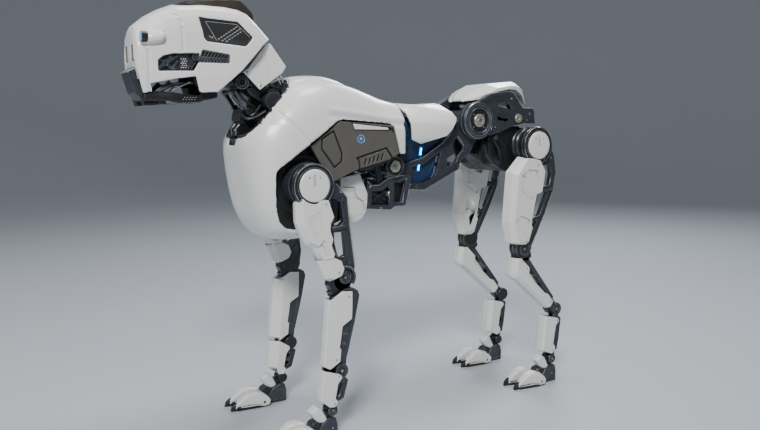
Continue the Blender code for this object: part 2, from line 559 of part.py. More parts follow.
def hind_leg(corner, side):
    lay = layers(side, HIND_OUT)
    frame = [(290, 644), (372, 648), (391, 612), (397, 566), (386, 517), (355, 451), (314, 372), (284, 362), (266, 372), (254, 402), (243, 447), (252, 560), (288, 600)]
    steps = [("UNION", drum(HIP, RING_R, *lay["ring"], 28)), ("UNION", drum(KNEE, 19, *lay["tongue"], 20))]
    wide = mirror_x(side, HIND_OUT - 40, HIND_OUT)
    for hole in ([(348, 584), (376, 590), (381, 566), (374, 532), (346, 532)], [(332, 518), (368, 518), (343, 462), (322, 462)],
                 [(314, 448), (336, 448), (310, 398), (300, 398)]):
        steps.append(("DIFFERENCE", prism(hole, *wide)))
    steps.append(("UNION", drum((262, 560), 6, *mirror_x(side, HIND_OUT - 20, HIND_OUT - 6.7), 10)))
    piece(f"{corner}_upper_frame", f"{corner}_upper", prism(frame, *lay["tongue"]), steps, DARK)
    cover = [(279, 613), (304, 609), (331, 602), (348, 574), (339, 521), (320, 513), (303, 436), (307, 428), (296, 392), (286, 384), (259, 383), (241, 390),
             (228, 446), (239, 575)]
    piece(f"{corner}_upper_cover", f"{corner}_upper", prism(cover, *lay["cover"]), [
        ("DIFFERENCE", prism([(284, 700), (284, 605), (247.5, 573), (237, 446.5), (249, 395), (250, 340), (500, 340), (500, 700)], *lay["hollow"])),
        ("DIFFERENCE", drum(HIP, 52, *lay["inner"], 28)),
        ("DIFFERENCE", drum(HIP, CAP_R + 2.5, *lay["behind"], 28)),
    ], WHITE, 2.0)
    piece(f"{corner}_hub_cap", f"{corner}_upper", drum(HIP, CAP_R, *lay["cap"], 28), [], WHITE, 1.5)

    body_ = [(266, 344), (302, 350), (318, 328), (398, 228), (384, 216), (374, 213), (290, 288), (255, 316)]
    steps = knuckle(KNEE, (280, 335), 17, 26, lay)
    steps += [("UNION", bar((384, 226), HOCK, 20, *lay["tongue"])), ("UNION", drum(HOCK, 15, *lay["tongue"], 18))]
    piece(f"{corner}_lower_frame", f"{corner}_lower", prism(body_, *lay["frame"]), steps, DARK)
    cover = [(246, 352), (272, 350), (299, 322), (299, 314), (295, 303), (357, 247), (367, 244), (386, 221), (376, 207), (366, 204), (262, 291), (247, 297), (240, 309)]
    piece(f"{corner}_lower_cover", f"{corner}_lower", prism(cover, *lay["cover"]), [
        ("DIFFERENCE", prism([(253, 420), (248, 311), (267, 299), (369, 214), (375, 180), (480, 180), (480, 420)], *lay["hollow"])),
    ], WHITE, 2.0)

    body_ = [(388, 172), (422, 176), (425, 170), (418, 110), (412, 82), (380, 82), (382, 150)]
    steps = knuckle(HOCK, (404, 164), 14, 22, lay)
    steps += [("UNION", bar((396, 92), HIND_ANKLE, 18, *lay["tongue"])), ("UNION", drum(HIND_ANKLE, 12.5, *lay["tongue"], 18))]
    piece(f"{corner}_pastern_frame", f"{corner}_pastern", prism(body_, *lay["frame"]), steps, DARK)
    cover = [(360, 184), (401, 174), (409, 166), (398, 152), (390, 103), (396, 98), (393, 81), (384, 76), (351, 89)]
    piece(f"{corner}_pastern_cover", f"{corner}_pastern", prism(cover, *lay["cover"]), [
        ("DIFFERENCE", prism([(367, 280), (367, 182), (359, 97), (378, 40), (480, 40), (480, 280)], *lay["hollow"])),
    ], WHITE, 2.0)
    foot(corner, side, HIND_OUT, HIND_ANKLE, lay)


fore_leg("front_left", 1)
fore_leg("front_right", -1)
hind_leg("rear_left", 1)
hind_leg("rear_right", -1)
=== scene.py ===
import json
import math

import bmesh
import bpy
from mathutils import Matrix, Vector


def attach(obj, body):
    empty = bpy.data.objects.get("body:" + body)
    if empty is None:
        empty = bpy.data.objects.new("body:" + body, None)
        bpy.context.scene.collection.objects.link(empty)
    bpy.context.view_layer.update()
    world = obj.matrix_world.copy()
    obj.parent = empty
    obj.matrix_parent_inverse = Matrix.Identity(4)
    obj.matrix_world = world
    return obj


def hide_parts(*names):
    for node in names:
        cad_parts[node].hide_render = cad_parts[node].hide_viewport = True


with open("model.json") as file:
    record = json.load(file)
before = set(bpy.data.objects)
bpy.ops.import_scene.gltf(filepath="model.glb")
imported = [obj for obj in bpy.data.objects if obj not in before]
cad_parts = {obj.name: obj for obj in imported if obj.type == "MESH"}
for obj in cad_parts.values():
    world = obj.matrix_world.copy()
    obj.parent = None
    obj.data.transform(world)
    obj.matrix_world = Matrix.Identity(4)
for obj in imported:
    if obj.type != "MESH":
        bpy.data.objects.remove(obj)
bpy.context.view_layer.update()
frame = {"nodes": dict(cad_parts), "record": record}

# The same design frame as the CAD source: millimetres, side view (Y, Z), X across ----------
SHIFT = 130.5
SHOULDER = (-336.0, 568.0)
ELBOW = (-262.0, 360.0)
WRIST = (-273.0, 148.0)
FORE_ANKLE = (-297.0, 60.0)
HIP = (327.0, 641.0)
KNEE = (284.0, 374.0)
HOCK = (404.0, 197.0)
HIND_ANKLE = (392.0, 60.0)
SPINE_FRONT = (-91.0, 599.0)
SPINE_REAR = (158.0, 706.0)
NECK_BASE = (-378.0, 750.0)
HEAD_PIVOT = (-449.0, 790.0)
JAW_PIVOT = (-530.0, 786.0)
FORE_OUT = 158.0
HIND_OUT = 134.0

SCENE = bpy.context.scene.collection


def point(x, y, z):
    return Vector((x, y + SHIFT, z)) * 0.001


# Materials ------------------------------------------------------------------------------------
def surface(name, rgb, rough, metal=0.0, coat=0.0, vary=0.05, vary_scale=55.0, spread=0.10,
            wear=None, wear_rough=0.3, wear_amount=1.0, grain=0.04, grain_scale=900.0, ior=1.5,
            crevice_shade=0.0, radius=0.0011):
    """A moulded or machined finish: uneven colour, uneven roughness, fine grain and rubbed edges, and optionally
    painted shade that darkens the colour in hollows.
    """
    m = bpy.data.materials.new(name)
    m.use_nodes = True
    nt = m.node_tree
    for n in list(nt.nodes):
        nt.nodes.remove(n)
    out = nt.nodes.new("ShaderNodeOutputMaterial")
    bsdf = nt.nodes.new("ShaderNodeBsdfPrincipled")
    nt.links.new(bsdf.outputs["BSDF"], out.inputs["Surface"])
    bsdf.inputs["Metallic"].default_value = metal
    bsdf.inputs["IOR"].default_value = ior
    bsdf.inputs["Coat Weight"].default_value = coat
    bsdf.inputs["Coat Roughness"].default_value = 0.12
    where = nt.nodes.new("ShaderNodeTexCoord")
    big = nt.nodes.new("ShaderNodeTexNoise")
    big.inputs["Scale"].default_value = vary_scale
    big.inputs["Detail"].default_value = 4.0
    nt.links.new(where.outputs["Object"], big.inputs["Vector"])
    fine = nt.nodes.new("ShaderNodeTexNoise")
    fine.inputs["Scale"].default_value = grain_scale
    fine.inputs["Detail"].default_value = 3.0
    nt.links.new(where.outputs["Object"], fine.inputs["Vector"])
    # colour: base varied by the broad noise
    low = [max(0.0, c * (1 - vary)) for c in rgb]
    high = [min(1.0, c * (1 + vary)) for c in rgb]
    mix = nt.nodes.new("ShaderNodeMix")
    mix.data_type = "RGBA"
    mix.inputs["A"].default_value = (*low, 1)
    mix.inputs["B"].default_value = (*high, 1)
    nt.links.new(big.outputs["Fac"], mix.inputs["Factor"])
    colour = mix.outputs["Result"]
    # roughness: varied by the broad noise
    span = nt.nodes.new("ShaderNodeMapRange")
    span.inputs["From Min"].default_value = 0.25
    span.inputs["From Max"].default_value = 0.75
    span.inputs["To Min"].default_value = max(0.03, rough - spread)
    span.inputs["To Max"].default_value = min(1.0, rough + spread)
    nt.links.new(big.outputs["Fac"], span.inputs["Value"])
    roughness = span.outputs["Result"]
    if wear:
        rounded = nt.nodes.new("ShaderNodeBevel")
        rounded.samples = 4
        rounded.inputs["Radius"].default_value = radius
        geo = nt.nodes.new("ShaderNodeNewGeometry")
        dot = nt.nodes.new("ShaderNodeVectorMath")
        dot.operation = "DOT_PRODUCT"
        nt.links.new(rounded.outputs["Normal"], dot.inputs[0])
        nt.links.new(geo.outputs["Normal"], dot.inputs[1])
        edge = nt.nodes.new("ShaderNodeMapRange")
        edge.inputs["From Min"].default_value = 0.995
        edge.inputs["From Max"].default_value = 0.90
        edge.inputs["To Min"].default_value = 0.0
        edge.inputs["To Max"].default_value = wear_amount
        nt.links.new(dot.outputs["Value"], edge.inputs["Value"])
        rub = nt.nodes.new("ShaderNodeMapRange")
        rub.inputs["From Min"].default_value = 0.30
        rub.inputs["From Max"].default_value = 0.55
        nt.links.new(big.outputs["Fac"], rub.inputs["Value"])
        both = nt.nodes.new("ShaderNodeMath")
        both.operation = "MULTIPLY"
        nt.links.new(edge.outputs["Result"], both.inputs[0])
        nt.links.new(rub.outputs["Result"], both.inputs[1])
        worn = nt.nodes.new("ShaderNodeMix")
        worn.data_type = "RGBA"
        worn.inputs["B"].default_value = (*wear, 1)
        nt.links.new(colour, worn.inputs["A"])
        nt.links.new(both.outputs["Value"], worn.inputs["Factor"])
        colour = worn.outputs["Result"]
        rubbed = nt.nodes.new("ShaderNodeMix")
        rubbed.data_type = "FLOAT"
        rubbed.inputs["B"].default_value = wear_rough
        nt.links.new(roughness, rubbed.inputs["A"])
        nt.links.new(both.outputs["Value"], rubbed.inputs["Factor"])
        roughness = rubbed.outputs["Result"]
    # painted shade: an ambient-occlusion mask darkens the base colour in hollows, seams and pockets, where shade falls
    if crevice_shade:
        hollow = nt.nodes.new("ShaderNodeAmbientOcclusion")
        hollow.samples = 8
        hollow.inputs["Distance"].default_value = 0.007
        shade = nt.nodes.new("ShaderNodeMapRange")
        shade.inputs["From Min"].default_value = 0.35
        shade.inputs["From Max"].default_value = 0.95
        shade.inputs["To Min"].default_value = 1.0 - crevice_shade
        shade.inputs["To Max"].default_value = 1.0
        nt.links.new(hollow.outputs["AO"], shade.inputs["Value"])
        crevice_shaded = nt.nodes.new("ShaderNodeVectorMath")
        crevice_shaded.operation = "SCALE"
        nt.links.new(colour, crevice_shaded.inputs[0])
        nt.links.new(shade.outputs["Result"], crevice_shaded.inputs["Scale"])
        colour = crevice_shaded.outputs["Vector"]
    nt.links.new(colour, bsdf.inputs["Base Color"])
    nt.links.new(roughness, bsdf.inputs["Roughness"])
    if grain:
        bump = nt.nodes.new("ShaderNodeBump")
        bump.inputs["Strength"].default_value = grain
        bump.inputs["Distance"].default_value = 0.0004
        nt.links.new(fine.outputs["Fac"], bump.inputs["Height"])
        nt.links.new(bump.outputs["Normal"], bsdf.inputs["Normal"])
    return m


def glowing(name, rgb, strength, base=(0.02, 0.05, 0.08)):
    m = surface(name, base, 0.3, vary=0.1, grain=0.0)
    bsdf = next(n for n in m.node_tree.nodes if n.type == "BSDF_PRINCIPLED")
    bsdf.inputs["Emission Color"].default_value = (*rgb, 1)
    bsdf.inputs["Emission Strength"].default_value = strength
    return m


# the white shell carries painted shade: its colour is darkened in hollows, seams and pockets
WHITE = surface("white_shell", (0.76, 0.757, 0.735), 0.33, coat=0.22, vary=0.018, vary_scale=30.0, spread=0.07,
                wear=(0.80, 0.80, 0.79), wear_amount=0.6, grain=0.05, grain_scale=1400.0, crevice_shade=0.6)
TAUPE = surface("taupe_panel", (0.122, 0.115, 0.100), 0.42, metal=0.25, vary=0.10, vary_scale=40.0, spread=0.08,
                wear=(0.32, 0.31, 0.28), grain=0.10, grain_scale=1800.0)
ALLOY = surface("dark_alloy", (0.058, 0.064, 0.078), 0.36, metal=0.5, vary=0.22, vary_scale=60.0, spread=0.10,
                wear=(0.40, 0.42, 0.46), wear_rough=0.24, grain=0.10, grain_scale=1500.0, radius=0.0014)
BLACK = surface("black_plastic", (0.011, 0.012, 0.014), 0.36, coat=0.1, vary=0.25, vary_scale=70.0, spread=0.12,
                wear=(0.10, 0.105, 0.12), grain=0.08, grain_scale=1600.0)
RUBBER = surface("black_rubber", (0.010, 0.010, 0.011), 0.62, vary=0.3, spread=0.12, grain=0.25, grain_scale=2200.0,
                 wear=(0.05, 0.05, 0.055))
STEEL = surface("polished_steel", (0.46, 0.47, 0.49), 0.22, metal=1.0, vary=0.12, vary_scale=90.0, spread=0.08,
                wear=(0.75, 0.76, 0.78), grain=0.04, grain_scale=2500.0)
BRASS = surface("champagne_alloy", (0.43, 0.41, 0.345), 0.34, metal=0.65, vary=0.08, vary_scale=120.0, spread=0.08,
                wear=(0.66, 0.64, 0.58), grain=0.10, grain_scale=2600.0)
GLASS = surface("smoked_glass", (0.030, 0.031, 0.033), 0.14, coat=0.5, vary=0.15, vary_scale=25.0, spread=0.05, grain=0.0)
# pale print colour, also used for a painted highlight on the chin's top face
PRINT_AND_HIGHLIGHT = surface("pale_marking", (0.36, 0.36, 0.35), 0.4, vary=0.12, grain=0.06)
CORE = surface("core_casing", (0.010, 0.030, 0.078), 0.30, coat=0.25, vary=0.25, vary_scale=45.0, spread=0.1,
               wear=(0.05, 0.12, 0.26), grain=0.06)
BAND = surface("blue_band", (0.008, 0.050, 0.21), 0.34, coat=0.3, vary=0.12, grain=0.08, grain_scale=1200.0)
GLOW = glowing("status_light", (0.02, 0.52, 1.0), 9.0)
HALO = glowing("status_light_dim", (0.01, 0.16, 0.55), 0.55, base=(0.008, 0.03, 0.09))
RING_GLOW = glowing("ring_light", (0.10, 0.33, 0.78), 1.1, base=(0.03, 0.07, 0.13))
CREST_LOOK = surface("crest_casing", (0.032, 0.028, 0.022), 0.40, coat=0.15, vary=0.2, vary_scale=35.0, grain=0.10,
                     wear=(0.12, 0.11, 0.10))
FLOOR = surface("studio_floor", (0.47, 0.50, 0.54), 0.72, vary=0.03, vary_scale=0.9, spread=0.05, grain=0.0)


# Mesh helpers ---------------------------------------------------------------------------------
def closed(bm):
    bmesh.ops.recalc_face_normals(bm, faces=bm.faces)
    return bm


def skin(rings, cap=True, loop=False):
    bm = bmesh.new()
    made = [[bm.verts.new(p) for p in ring] for ring in rings]
    n = len(made[0])
    pairs = list(zip(made, made[1:]))
    if loop:
        pairs.append((made[-1], made[0]))
    for low, high in pairs:
        for k in range(n):
            m = (k + 1) % n
            bm.faces.new((low[k], low[m], high[m], high[k]))
    if cap and not loop:
        bm.faces.new(made[0])
        bm.faces.new(made[-1][::-1])
    return closed(bm)


def prism(outline, x0, x1):
    """A side-view outline carried across from x0 to x1."""
    return skin([[point(x, y, z) for y, z in outline] for x in (x0, x1)])


def lengthwise(section, y0, y1):
    return skin([[point(x, y, z) for x, z in section] for y in (y0, y1)])


def taper(outline_a, xa, outline_b, xb):
    """Between two side-view outlines of the same count."""
    return skin([[point(xa, y, z) for y, z in outline_a], [point(xb, y, z) for y, z in outline_b]])


def cross(a, b, c):
    return (b[0] - a[0]) * (c[1] - a[1]) - (b[1] - a[1]) * (c[0] - a[0])


def area(poly):
    return sum(p[0] * q[1] - q[0] * p[1] for p, q in zip(poly, poly[1:] + poly[:1])) / 2


def inset(poly, d):
    """The outline moved inwards by d, or by one distance per edge."""
    n = len(poly)
    turn = 1 if area(poly) > 0 else -1
    ds = d if isinstance(d, (list, tuple)) else [d] * n
    lines = []
    for i in range(n):
        (y0, z0), (y1, z1) = poly[i], poly[(i + 1) % n]
        length = math.hypot(y1 - y0, z1 - z0) or 1.0
        ny, nz = -(z1 - z0) / length * turn, (y1 - y0) / length * turn
        lines.append((y0 + ny * ds[i], z0 + nz * ds[i], (y1 - y0) / length, (z1 - z0) / length))
    out = []
    for i in range(n):
        ay, az, ady, adz = lines[i - 1]
        by, bz, bdy, bdz = lines[i]
        den = ady * bdz - adz * bdy
        if abs(den) < 0.05:
            out.append((by, bz))
            continue
        t = ((by - ay) * bdz - (bz - az) * bdy) / den
        out.append((ay + ady * t, az + adz * t))
    return out


def revolve(centre, profile, seg=32, phase=0.0, x_of=None):
    """A solid of revolution about an X line; profile is (x, r) from one end to the other, and r may be 0 at the ends."""
    y0, z0 = centre
    bm = bmesh.new()
    rings = []
    for x, r in profile:
        if r <= 0.001:
            rings.append([bm.verts.new(point(x, y0, z0))])
            continue
        rings.append([bm.verts.new(point(x, y0 + r * math.cos(2 * math.pi * (k + phase) / seg),
                                         z0 + r * math.sin(2 * math.pi * (k + phase) / seg))) for k in range(seg)])
    for low, high in zip(rings, rings[1:]):
        for k in range(seg):
            m = (k + 1) % seg
            if len(low) == 1 and len(high) == 1:
                continue
            if len(low) == 1:
                bm.faces.new((low[0], high[m], high[k]))
            elif len(high) == 1:
                bm.faces.new((low[k], low[m], high[0]))
            else:
                bm.faces.new((low[k], low[m], high[m], high[k]))
    if len(rings[0]) > 1:
        bm.faces.new(rings[0])
    if len(rings[-1]) > 1:
        bm.faces.new(rings[-1][::-1])
    return closed(bm)


def drum(centre, r, x0, x1, seg=32, round_=0.0):
    if round_:
        s = 1 if x1 > x0 else -1
        q = round_
        return revolve(centre, [(x0, r - q), (x0 + s * q * 0.3, r - q * 0.3), (x0 + s * q, r), (x1 - s * q, r), (x1 - s * q * 0.3, r - q * 0.3), (x1, r - q)], seg)
    return revolve(centre, [(x0, r), (x1, r)], seg)


def hoop(centre, r, tube, x, seg=48, sides=10, flat=1.0):
    """A round ring of wire lying in the side view."""
    y0, z0 = centre
    rings = []
    for k in range(seg):
        a = 2 * math.pi * k / seg
        ring = []
        for j in range(sides):
            b = 2 * math.pi * j / sides
            rr = r + tube * math.cos(b)
            ring.append(point(x + tube * flat * math.sin(b), y0 + rr * math.cos(a), z0 + rr * math.sin(a)))
        rings.append(ring)
    return skin(rings, loop=True)


def tube(path, r, sides=10):
    """A round rod along 3-D points in millimetres; r is one radius or one per point."""
    pts = [Vector(p) for p in path]
    radii = r if isinstance(r, (list, tuple)) else [r] * len(pts)
    rings = []
    last = None
    for i, p in enumerate(pts):
        d = (pts[min(i + 1, len(pts) - 1)] - pts[max(i - 1, 0)]).normalized()
        if last is None:
            guess = Vector((0, 0, 1)) if abs(d.z) < 0.9 else Vector((1, 0, 0))
            u = d.cross(guess).normalized()
        else:
            u = (last - d * last.dot(d)).normalized()
        last = u
        v = d.cross(u)
        rings.append([point(*(p + (u * math.cos(2 * math.pi * k / sides) + v * math.sin(2 * math.pi * k / sides)) * radii[i])) for k in range(sides)])
    return skin(rings)


def smooth_path(points, steps=6):
    """Catmull-Rom points through the given ones."""
    pts = [Vector(p) for p in points]
    pts = [pts[0] * 2 - pts[1], *pts, pts[-1] * 2 - pts[-2]]
    out = []
    for i in range(1, len(pts) - 2):
        a, b, c, d = pts[i - 1:i + 3]
        for k in range(steps):
            t = k / steps
            out.append(0.5 * ((2 * b) + (c - a) * t + (2 * a - 5 * b + 4 * c - d) * t * t + (3 * b - a - 3 * c + d) * t ** 3))
    out.append(pts[-2])
    return out


def bar(a, b, width, x0, x1):
    (ya, za), (yb, zb) = a, b
    length = math.hypot(yb - ya, zb - za)
    ny, nz = -(zb - za) / length * width / 2, (yb - ya) / length * width / 2
    return prism([(ya + ny, za + nz), (yb + ny, zb + nz), (yb - ny, zb - nz), (ya - ny, za - nz)], x0, x1)


def arc(centre, r, a0, a1, n):
    return [(centre[0] + r * math.cos(math.radians(a0 + (a1 - a0) * k / n)),
             centre[1] + r * math.sin(math.radians(a0 + (a1 - a0) * k / n))) for k in range(n + 1)]


def groove(path, width, x0, x1):
    """A thin cutter that follows an open side-view line."""
    left, right = [], []
    n = len(path)
    for i, (y, z) in enumerate(path):
        ya, za = path[max(i - 1, 0)]
        yb, zb = path[min(i + 1, n - 1)]
        length = math.hypot(yb - ya, zb - za)
        ny, nz = -(zb - za) / length * width / 2, (yb - ya) / length * width / 2
        left.append((y + ny, z + nz))
        right.append((y - ny, z - nz))
    return prism(left + right[::-1], x0, x1)


def rim(outline, width, x0, x1):
    """A closed frame of constant width inside an outline, as a solid."""
    inner = inset(outline, width)
    bm = bmesh.new()
    rings = []
    for x, line in ((x0, outline), (x1, outline), (x1, inner), (x0, inner)):
        rings.append([bm.verts.new(point(x, y, z)) for y, z in line])
    n = len(outline)
    for a, b in ((0, 1), (1, 2), (2, 3), (3, 0)):
        for k in range(n):
            m = (k + 1) % n
            bm.faces.new((rings[a][k], rings[a][m], rings[b][m], rings[b][k]))
    return closed(bm)


def slice_off(bm, at, normal):
    """Cuts away what lies beyond a plane, millimetres, and closes the cut."""
    geom = list(bm.verts) + list(bm.edges) + list(bm.faces)
    cut = bmesh.ops.bisect_plane(bm, geom=geom, dist=1e-7, plane_co=point(*at), plane_no=Vector(normal).normalized(), clear_outer=True)
    edges = [e for e in cut["geom_cut"] if isinstance(e, bmesh.types.BMEdge)]
    if edges:
        bmesh.ops.edgeloop_fill(bm, edges=edges)
    return closed(bm)


def temp(bm, label="work"):
    mesh = bpy.data.meshes.new(label)
    bm.to_mesh(mesh)
    bm.free()
    made = bpy.data.objects.new(label, mesh)
    SCENE.objects.link(made)
    return made


def evaluated(obj):
    graph = bpy.context.evaluated_depsgraph_get()
    graph.update()
    return bpy.data.meshes.new_from_object(obj.evaluated_get(graph), depsgraph=graph)


def drop(*objs):
    for o in objs:
        mesh = o.data
        bpy.data.objects.remove(o, do_unlink=True)
        bpy.data.meshes.remove(mesh)


def solid(base, steps=(), bevel=0.0, segs=2, angle=28, voxel=0.0, relax=0, first=0.0, keep=False):
    """A base shape with Boolean steps, then rounded edges: by bevel, or by a fine remesh for a moulded shell."""
    start = temp(base)
    if first:
        edge = start.modifiers.new("first", "BEVEL")
        edge.width = first * 0.001
        edge.segments = segs
        edge.limit_method = "ANGLE"
        edge.angle_limit = math.radians(angle)
    cutters = []
    for how, shape in steps:
        tool = temp(shape, "tool")
        tool.hide_render = True
        cutters.append(tool)
        step = start.modifiers.new("step", "BOOLEAN")
        step.operation = how
        step.solver = "EXACT"
        step.object = tool
    mesh = evaluated(start)
    drop(start, *cutters)
    if voxel:
        return remeshed(mesh, voxel, relax)
    if bevel:
        bm = bmesh.new()
        bm.from_mesh(mesh)
        bmesh.ops.remove_doubles(bm, verts=bm.verts, dist=2e-5)
        bmesh.ops.dissolve_limit(bm, angle_limit=0.01, verts=bm.verts, edges=bm.edges)
        bm.to_mesh(mesh)
        bm.free()
        rounded = bpy.data.objects.new("work", mesh)
        SCENE.objects.link(rounded)
        mod = rounded.modifiers.new("edge", "BEVEL")
        mod.width = bevel * 0.001
        mod.segments = segs
        mod.limit_method = "ANGLE"
        mod.angle_limit = math.radians(angle)
        mod.use_clamp_overlap = False
        mod.miter_outer = "MITER_ARC"
        mesh.shade_smooth()
        rounded.modifiers.new("weight", "WEIGHTED_NORMAL").keep_sharp = True
        done = evaluated(rounded)
        drop(rounded)
        return done
    mesh.shade_smooth()
    mesh.set_sharp_from_angle(angle=math.radians(angle))
    return mesh


def remeshed(mesh, voxel, relax):
    work = bpy.data.objects.new("work", mesh)
    SCENE.objects.link(work)
    grid = work.modifiers.new("grid", "REMESH")
    grid.mode = "VOXEL"
    grid.voxel_size = voxel * 0.001
    grid.use_smooth_shade = True
    if relax:
        soft = work.modifiers.new("soft", "SMOOTH")
        soft.factor = 0.5
        soft.iterations = relax
    done = evaluated(work)
    drop(work)
    done.shade_smooth()
    return done


def shaped(mesh, move):
    """Moves each vertex by the vector move(x, y, z, normal) gives, in millimetres of the design frame."""
    normals = [v.normal.copy() for v in mesh.vertices]
    for v, n in zip(mesh.vertices, normals):
        x, y, z = v.co.x * 1000, v.co.y * 1000 - SHIFT, v.co.z * 1000
        d = move(x, y, z, n)
        if d is not None:
            v.co += d * 0.001
    mesh.update()
    return mesh


def mirrored(mesh):
    bm = bmesh.new()
    bm.from_mesh(mesh)
    bmesh.ops.transform(bm, matrix=Matrix.Scale(-1, 4, (1, 0, 0)), verts=bm.verts)
    bmesh.ops.reverse_faces(bm, faces=bm.faces)
    made = bpy.data.meshes.new("mirror")
    bm.to_mesh(made)
    bm.free()
    return made


def place(name, body, mesh, look, stands_for=()):
    """One finished piece: named, given its finish and riding on its body."""
    if isinstance(mesh, bmesh.types.BMesh):
        mesh = solid(mesh)
    mesh.name = name
    mesh.materials.clear()
    mesh.materials.append(look)
    made = bpy.data.objects.new(name, mesh)
    SCENE.objects.link(made)
    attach(made, body)
    if stands_for:
        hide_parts(*stands_for)
    return made


def weighted(mesh):
    """Keeps large faces flat and rounds only the narrow ones."""
    work = bpy.data.objects.new("work", mesh)
    SCENE.objects.link(work)
    mesh.shade_smooth()
    work.modifiers.new("weight", "WEIGHTED_NORMAL")
    done = evaluated(work)
    drop(work)
    return done


PARTS = {}


def add(label, body, look, *shapes):
    """Small solids that belong to one piece, joined under one name at the end."""
    PARTS.setdefault((label, body, look.name), []).extend(shapes)


def both_sides(label, body, look, make_shape):
    """make_shape(side) for the left and the right of a middle body."""
    for s in (1, -1):
        add(label, body, look, make_shape(s))


def flush_parts():
    for (label, body, look_name), shapes in PARTS.items():
        bm = bmesh.new()
        for shape in shapes:
            mesh = bpy.data.meshes.new("join")
            shape.to_mesh(mesh)
            shape.free()
            bm.from_mesh(mesh)
            bpy.data.meshes.remove(mesh)
        mesh = bpy.data.meshes.new(label)
        bm.to_mesh(mesh)
        bm.free()
        mesh.shade_smooth()
        mesh.set_sharp_from_angle(angle=math.radians(32))
        place(f"{body}_{label}", body, mesh, bpy.data.materials[look_name])


def screw(x, y, z, side, r=2.8, proud=1.0):
    """A button head with a hex socket, standing out along X."""
    s = side
    return revolve((y, z), [(x - s * 2.0, 0.0), (x - s * 2.0, r), (x + s * proud * 0.4, r), (x + s * proud, r * 0.72), (x + s * proud, r * 0.45),
                            (x - s * 0.7, r * 0.42), (x - s * 0.7, 0.0)], 12)


def flip_shape(bm):
    bmesh.ops.transform(bm, matrix=Matrix.Scale(-1, 4, (1, 0, 0)), verts=bm.verts)
    bmesh.ops.reverse_faces(bm, faces=bm.faces)
    return bm


# Chest ------------------------------------------------------------------------------------------
STATIONS = [
    ((-338, 801), (-460, 668), 84, 2.5),
    ((-325, 806), (-463, 645), 103, 2.5),
    ((-298, 809), (-456, 598), 121, 2.6),
    ((-262, 809), (-447, 545), 129, 2.7),
    ((-222, 802), (-433, 492), 131, 2.7),
    ((-180, 790), (-402, 449), 130, 2.7),
    ((-142, 775), (-335, 440), 126, 2.8),
    ((-108, 761), (-236, 460), 121, 2.9),
    ((-76, 752), (-76, 560), 114, 3.0),
]


def catmull(rows, t):
    i = min(int(t), len(rows) - 2)
    f = t - i
    a, b, c, d = rows[max(i - 1, 0)], rows[i], rows[i + 1], rows[min(i + 2, len(rows) - 1)]
    return [0.5 * ((2 * q) + (r - p) * f + (2 * p - 5 * q + 4 * r - s) * f * f + (3 * q - p - 3 * r + s) * f ** 3)
            for p, q, r, s in zip(a, b, c, d)]


def chest_rings(grow, between=4, seg=72, only=None):
    flat = [[*top, *bottom, width, power] for top, bottom, width, power in STATIONS]
    steps = (len(flat) - 1) * between
    rings = []
    for k in range(steps + 1):
        if only and not only[0] <= k / between <= only[1]:
            continue
        ty, tz, by, bz, width, power = catmull(flat, k / between)
        span = math.hypot(by - ty, bz - tz)
        uy, uz = (by - ty) / span, (bz - tz) / span
        ring = []
        for j in range(seg):
            a = 2 * math.pi * j / seg
            c, s = math.cos(a), math.sin(a)
            full = power + (0.9 if c < 0 else 0.0)
            along = -math.copysign(abs(c) ** (2 / full), c)
            across = math.copysign(abs(s) ** (2 / full), s)
            half = span / 2 + grow
            ring.append(point(across * (width + grow), ty + uy * (span / 2 + along * half), tz + uz * (span / 2 + along * half)))
        rings.append(ring)
    return rings


SIDE_CUT = [(-333, 656), (-379, 623), (-404, 605), (-410, 596), (-410, 567), (-408, 528), (-403, 505), (-397, 489), (-384, 475), (-369, 464), (-352, 453), (-330, 446), (-330, 380),
            (-150, 380), (-150, 500), (-88, 627), (-94, 633), (-108, 690), (-116, 699), (-246, 709), (-262, 706)]
BELLY_CUT = [(-238, 380), (-238, 586), (-208, 596), (-122, 616), (-96, 628), (-40, 630), (-40, 380)]
NOTCH = [(-480, 655), (-425, 655), (-425, 730), (-480, 730)]


def segment_distance(y, z, a, b):
    """(distance, signed side, share along) from a point to a side-view segment."""
    dy, dz = b[0] - a[0], b[1] - a[1]
    length = math.hypot(dy, dz)
    t = ((y - a[0]) * dy + (z - a[1]) * dz) / length ** 2
    tc = min(max(t, 0.0), 1.0)
    side = ((y - a[0]) * dz - (z - a[1]) * dy) / length
    return math.hypot(y - a[0] - dy * tc, z - a[1] - dz * tc), side, t


def ease(v, a, b):
    t = min(max((v - a) / (b - a), 0.0), 1.0)
    return t * t * (3 - 2 * t)


def chest_relief(x, y, z, n):
    d = Vector((0, 0, 0))
    ax = abs(x)
    # raised plate along the back, wide at the neck and running out before the waist
    if n.z > 0.25 and z > 700:
        half = 60 * (1 - ease(y, -345, -128)) + 2
        fade = 1 - ease(y, -160, -118)
        d -= n * (4.2 * ease(ax, half, half + 8) * fade * (1 - ease(ax, half + 20, half + 62)))
    # joint line from the neck opening to the shoulder opening
    if n.x * x > 0 and ax > 55:
        far, side, t = segment_distance(y, z, (-412, 744), (-322, 650))
        if far < 40:
            d -= n * (2.4 * math.exp(-(far / 2.6) ** 2))
            if side > 0:
                d += n * (1.6 * (1 - ease(side, 0, 34)))
    # the flank turns outwards in a flat band above the side panel
    if n.x * x > 0 and ax > 80 and y > -300:
        edge = 733 - (y + 290) * 0.112
        d += n * (2.0 * math.exp(-((z - edge) / 6.0) ** 2)) * ease(y, -300, -262)
        d -= n * (2.6 * (1 - ease(abs(z - (edge - 13)), 0, 10))) * ease(y, -300, -262)
    return d


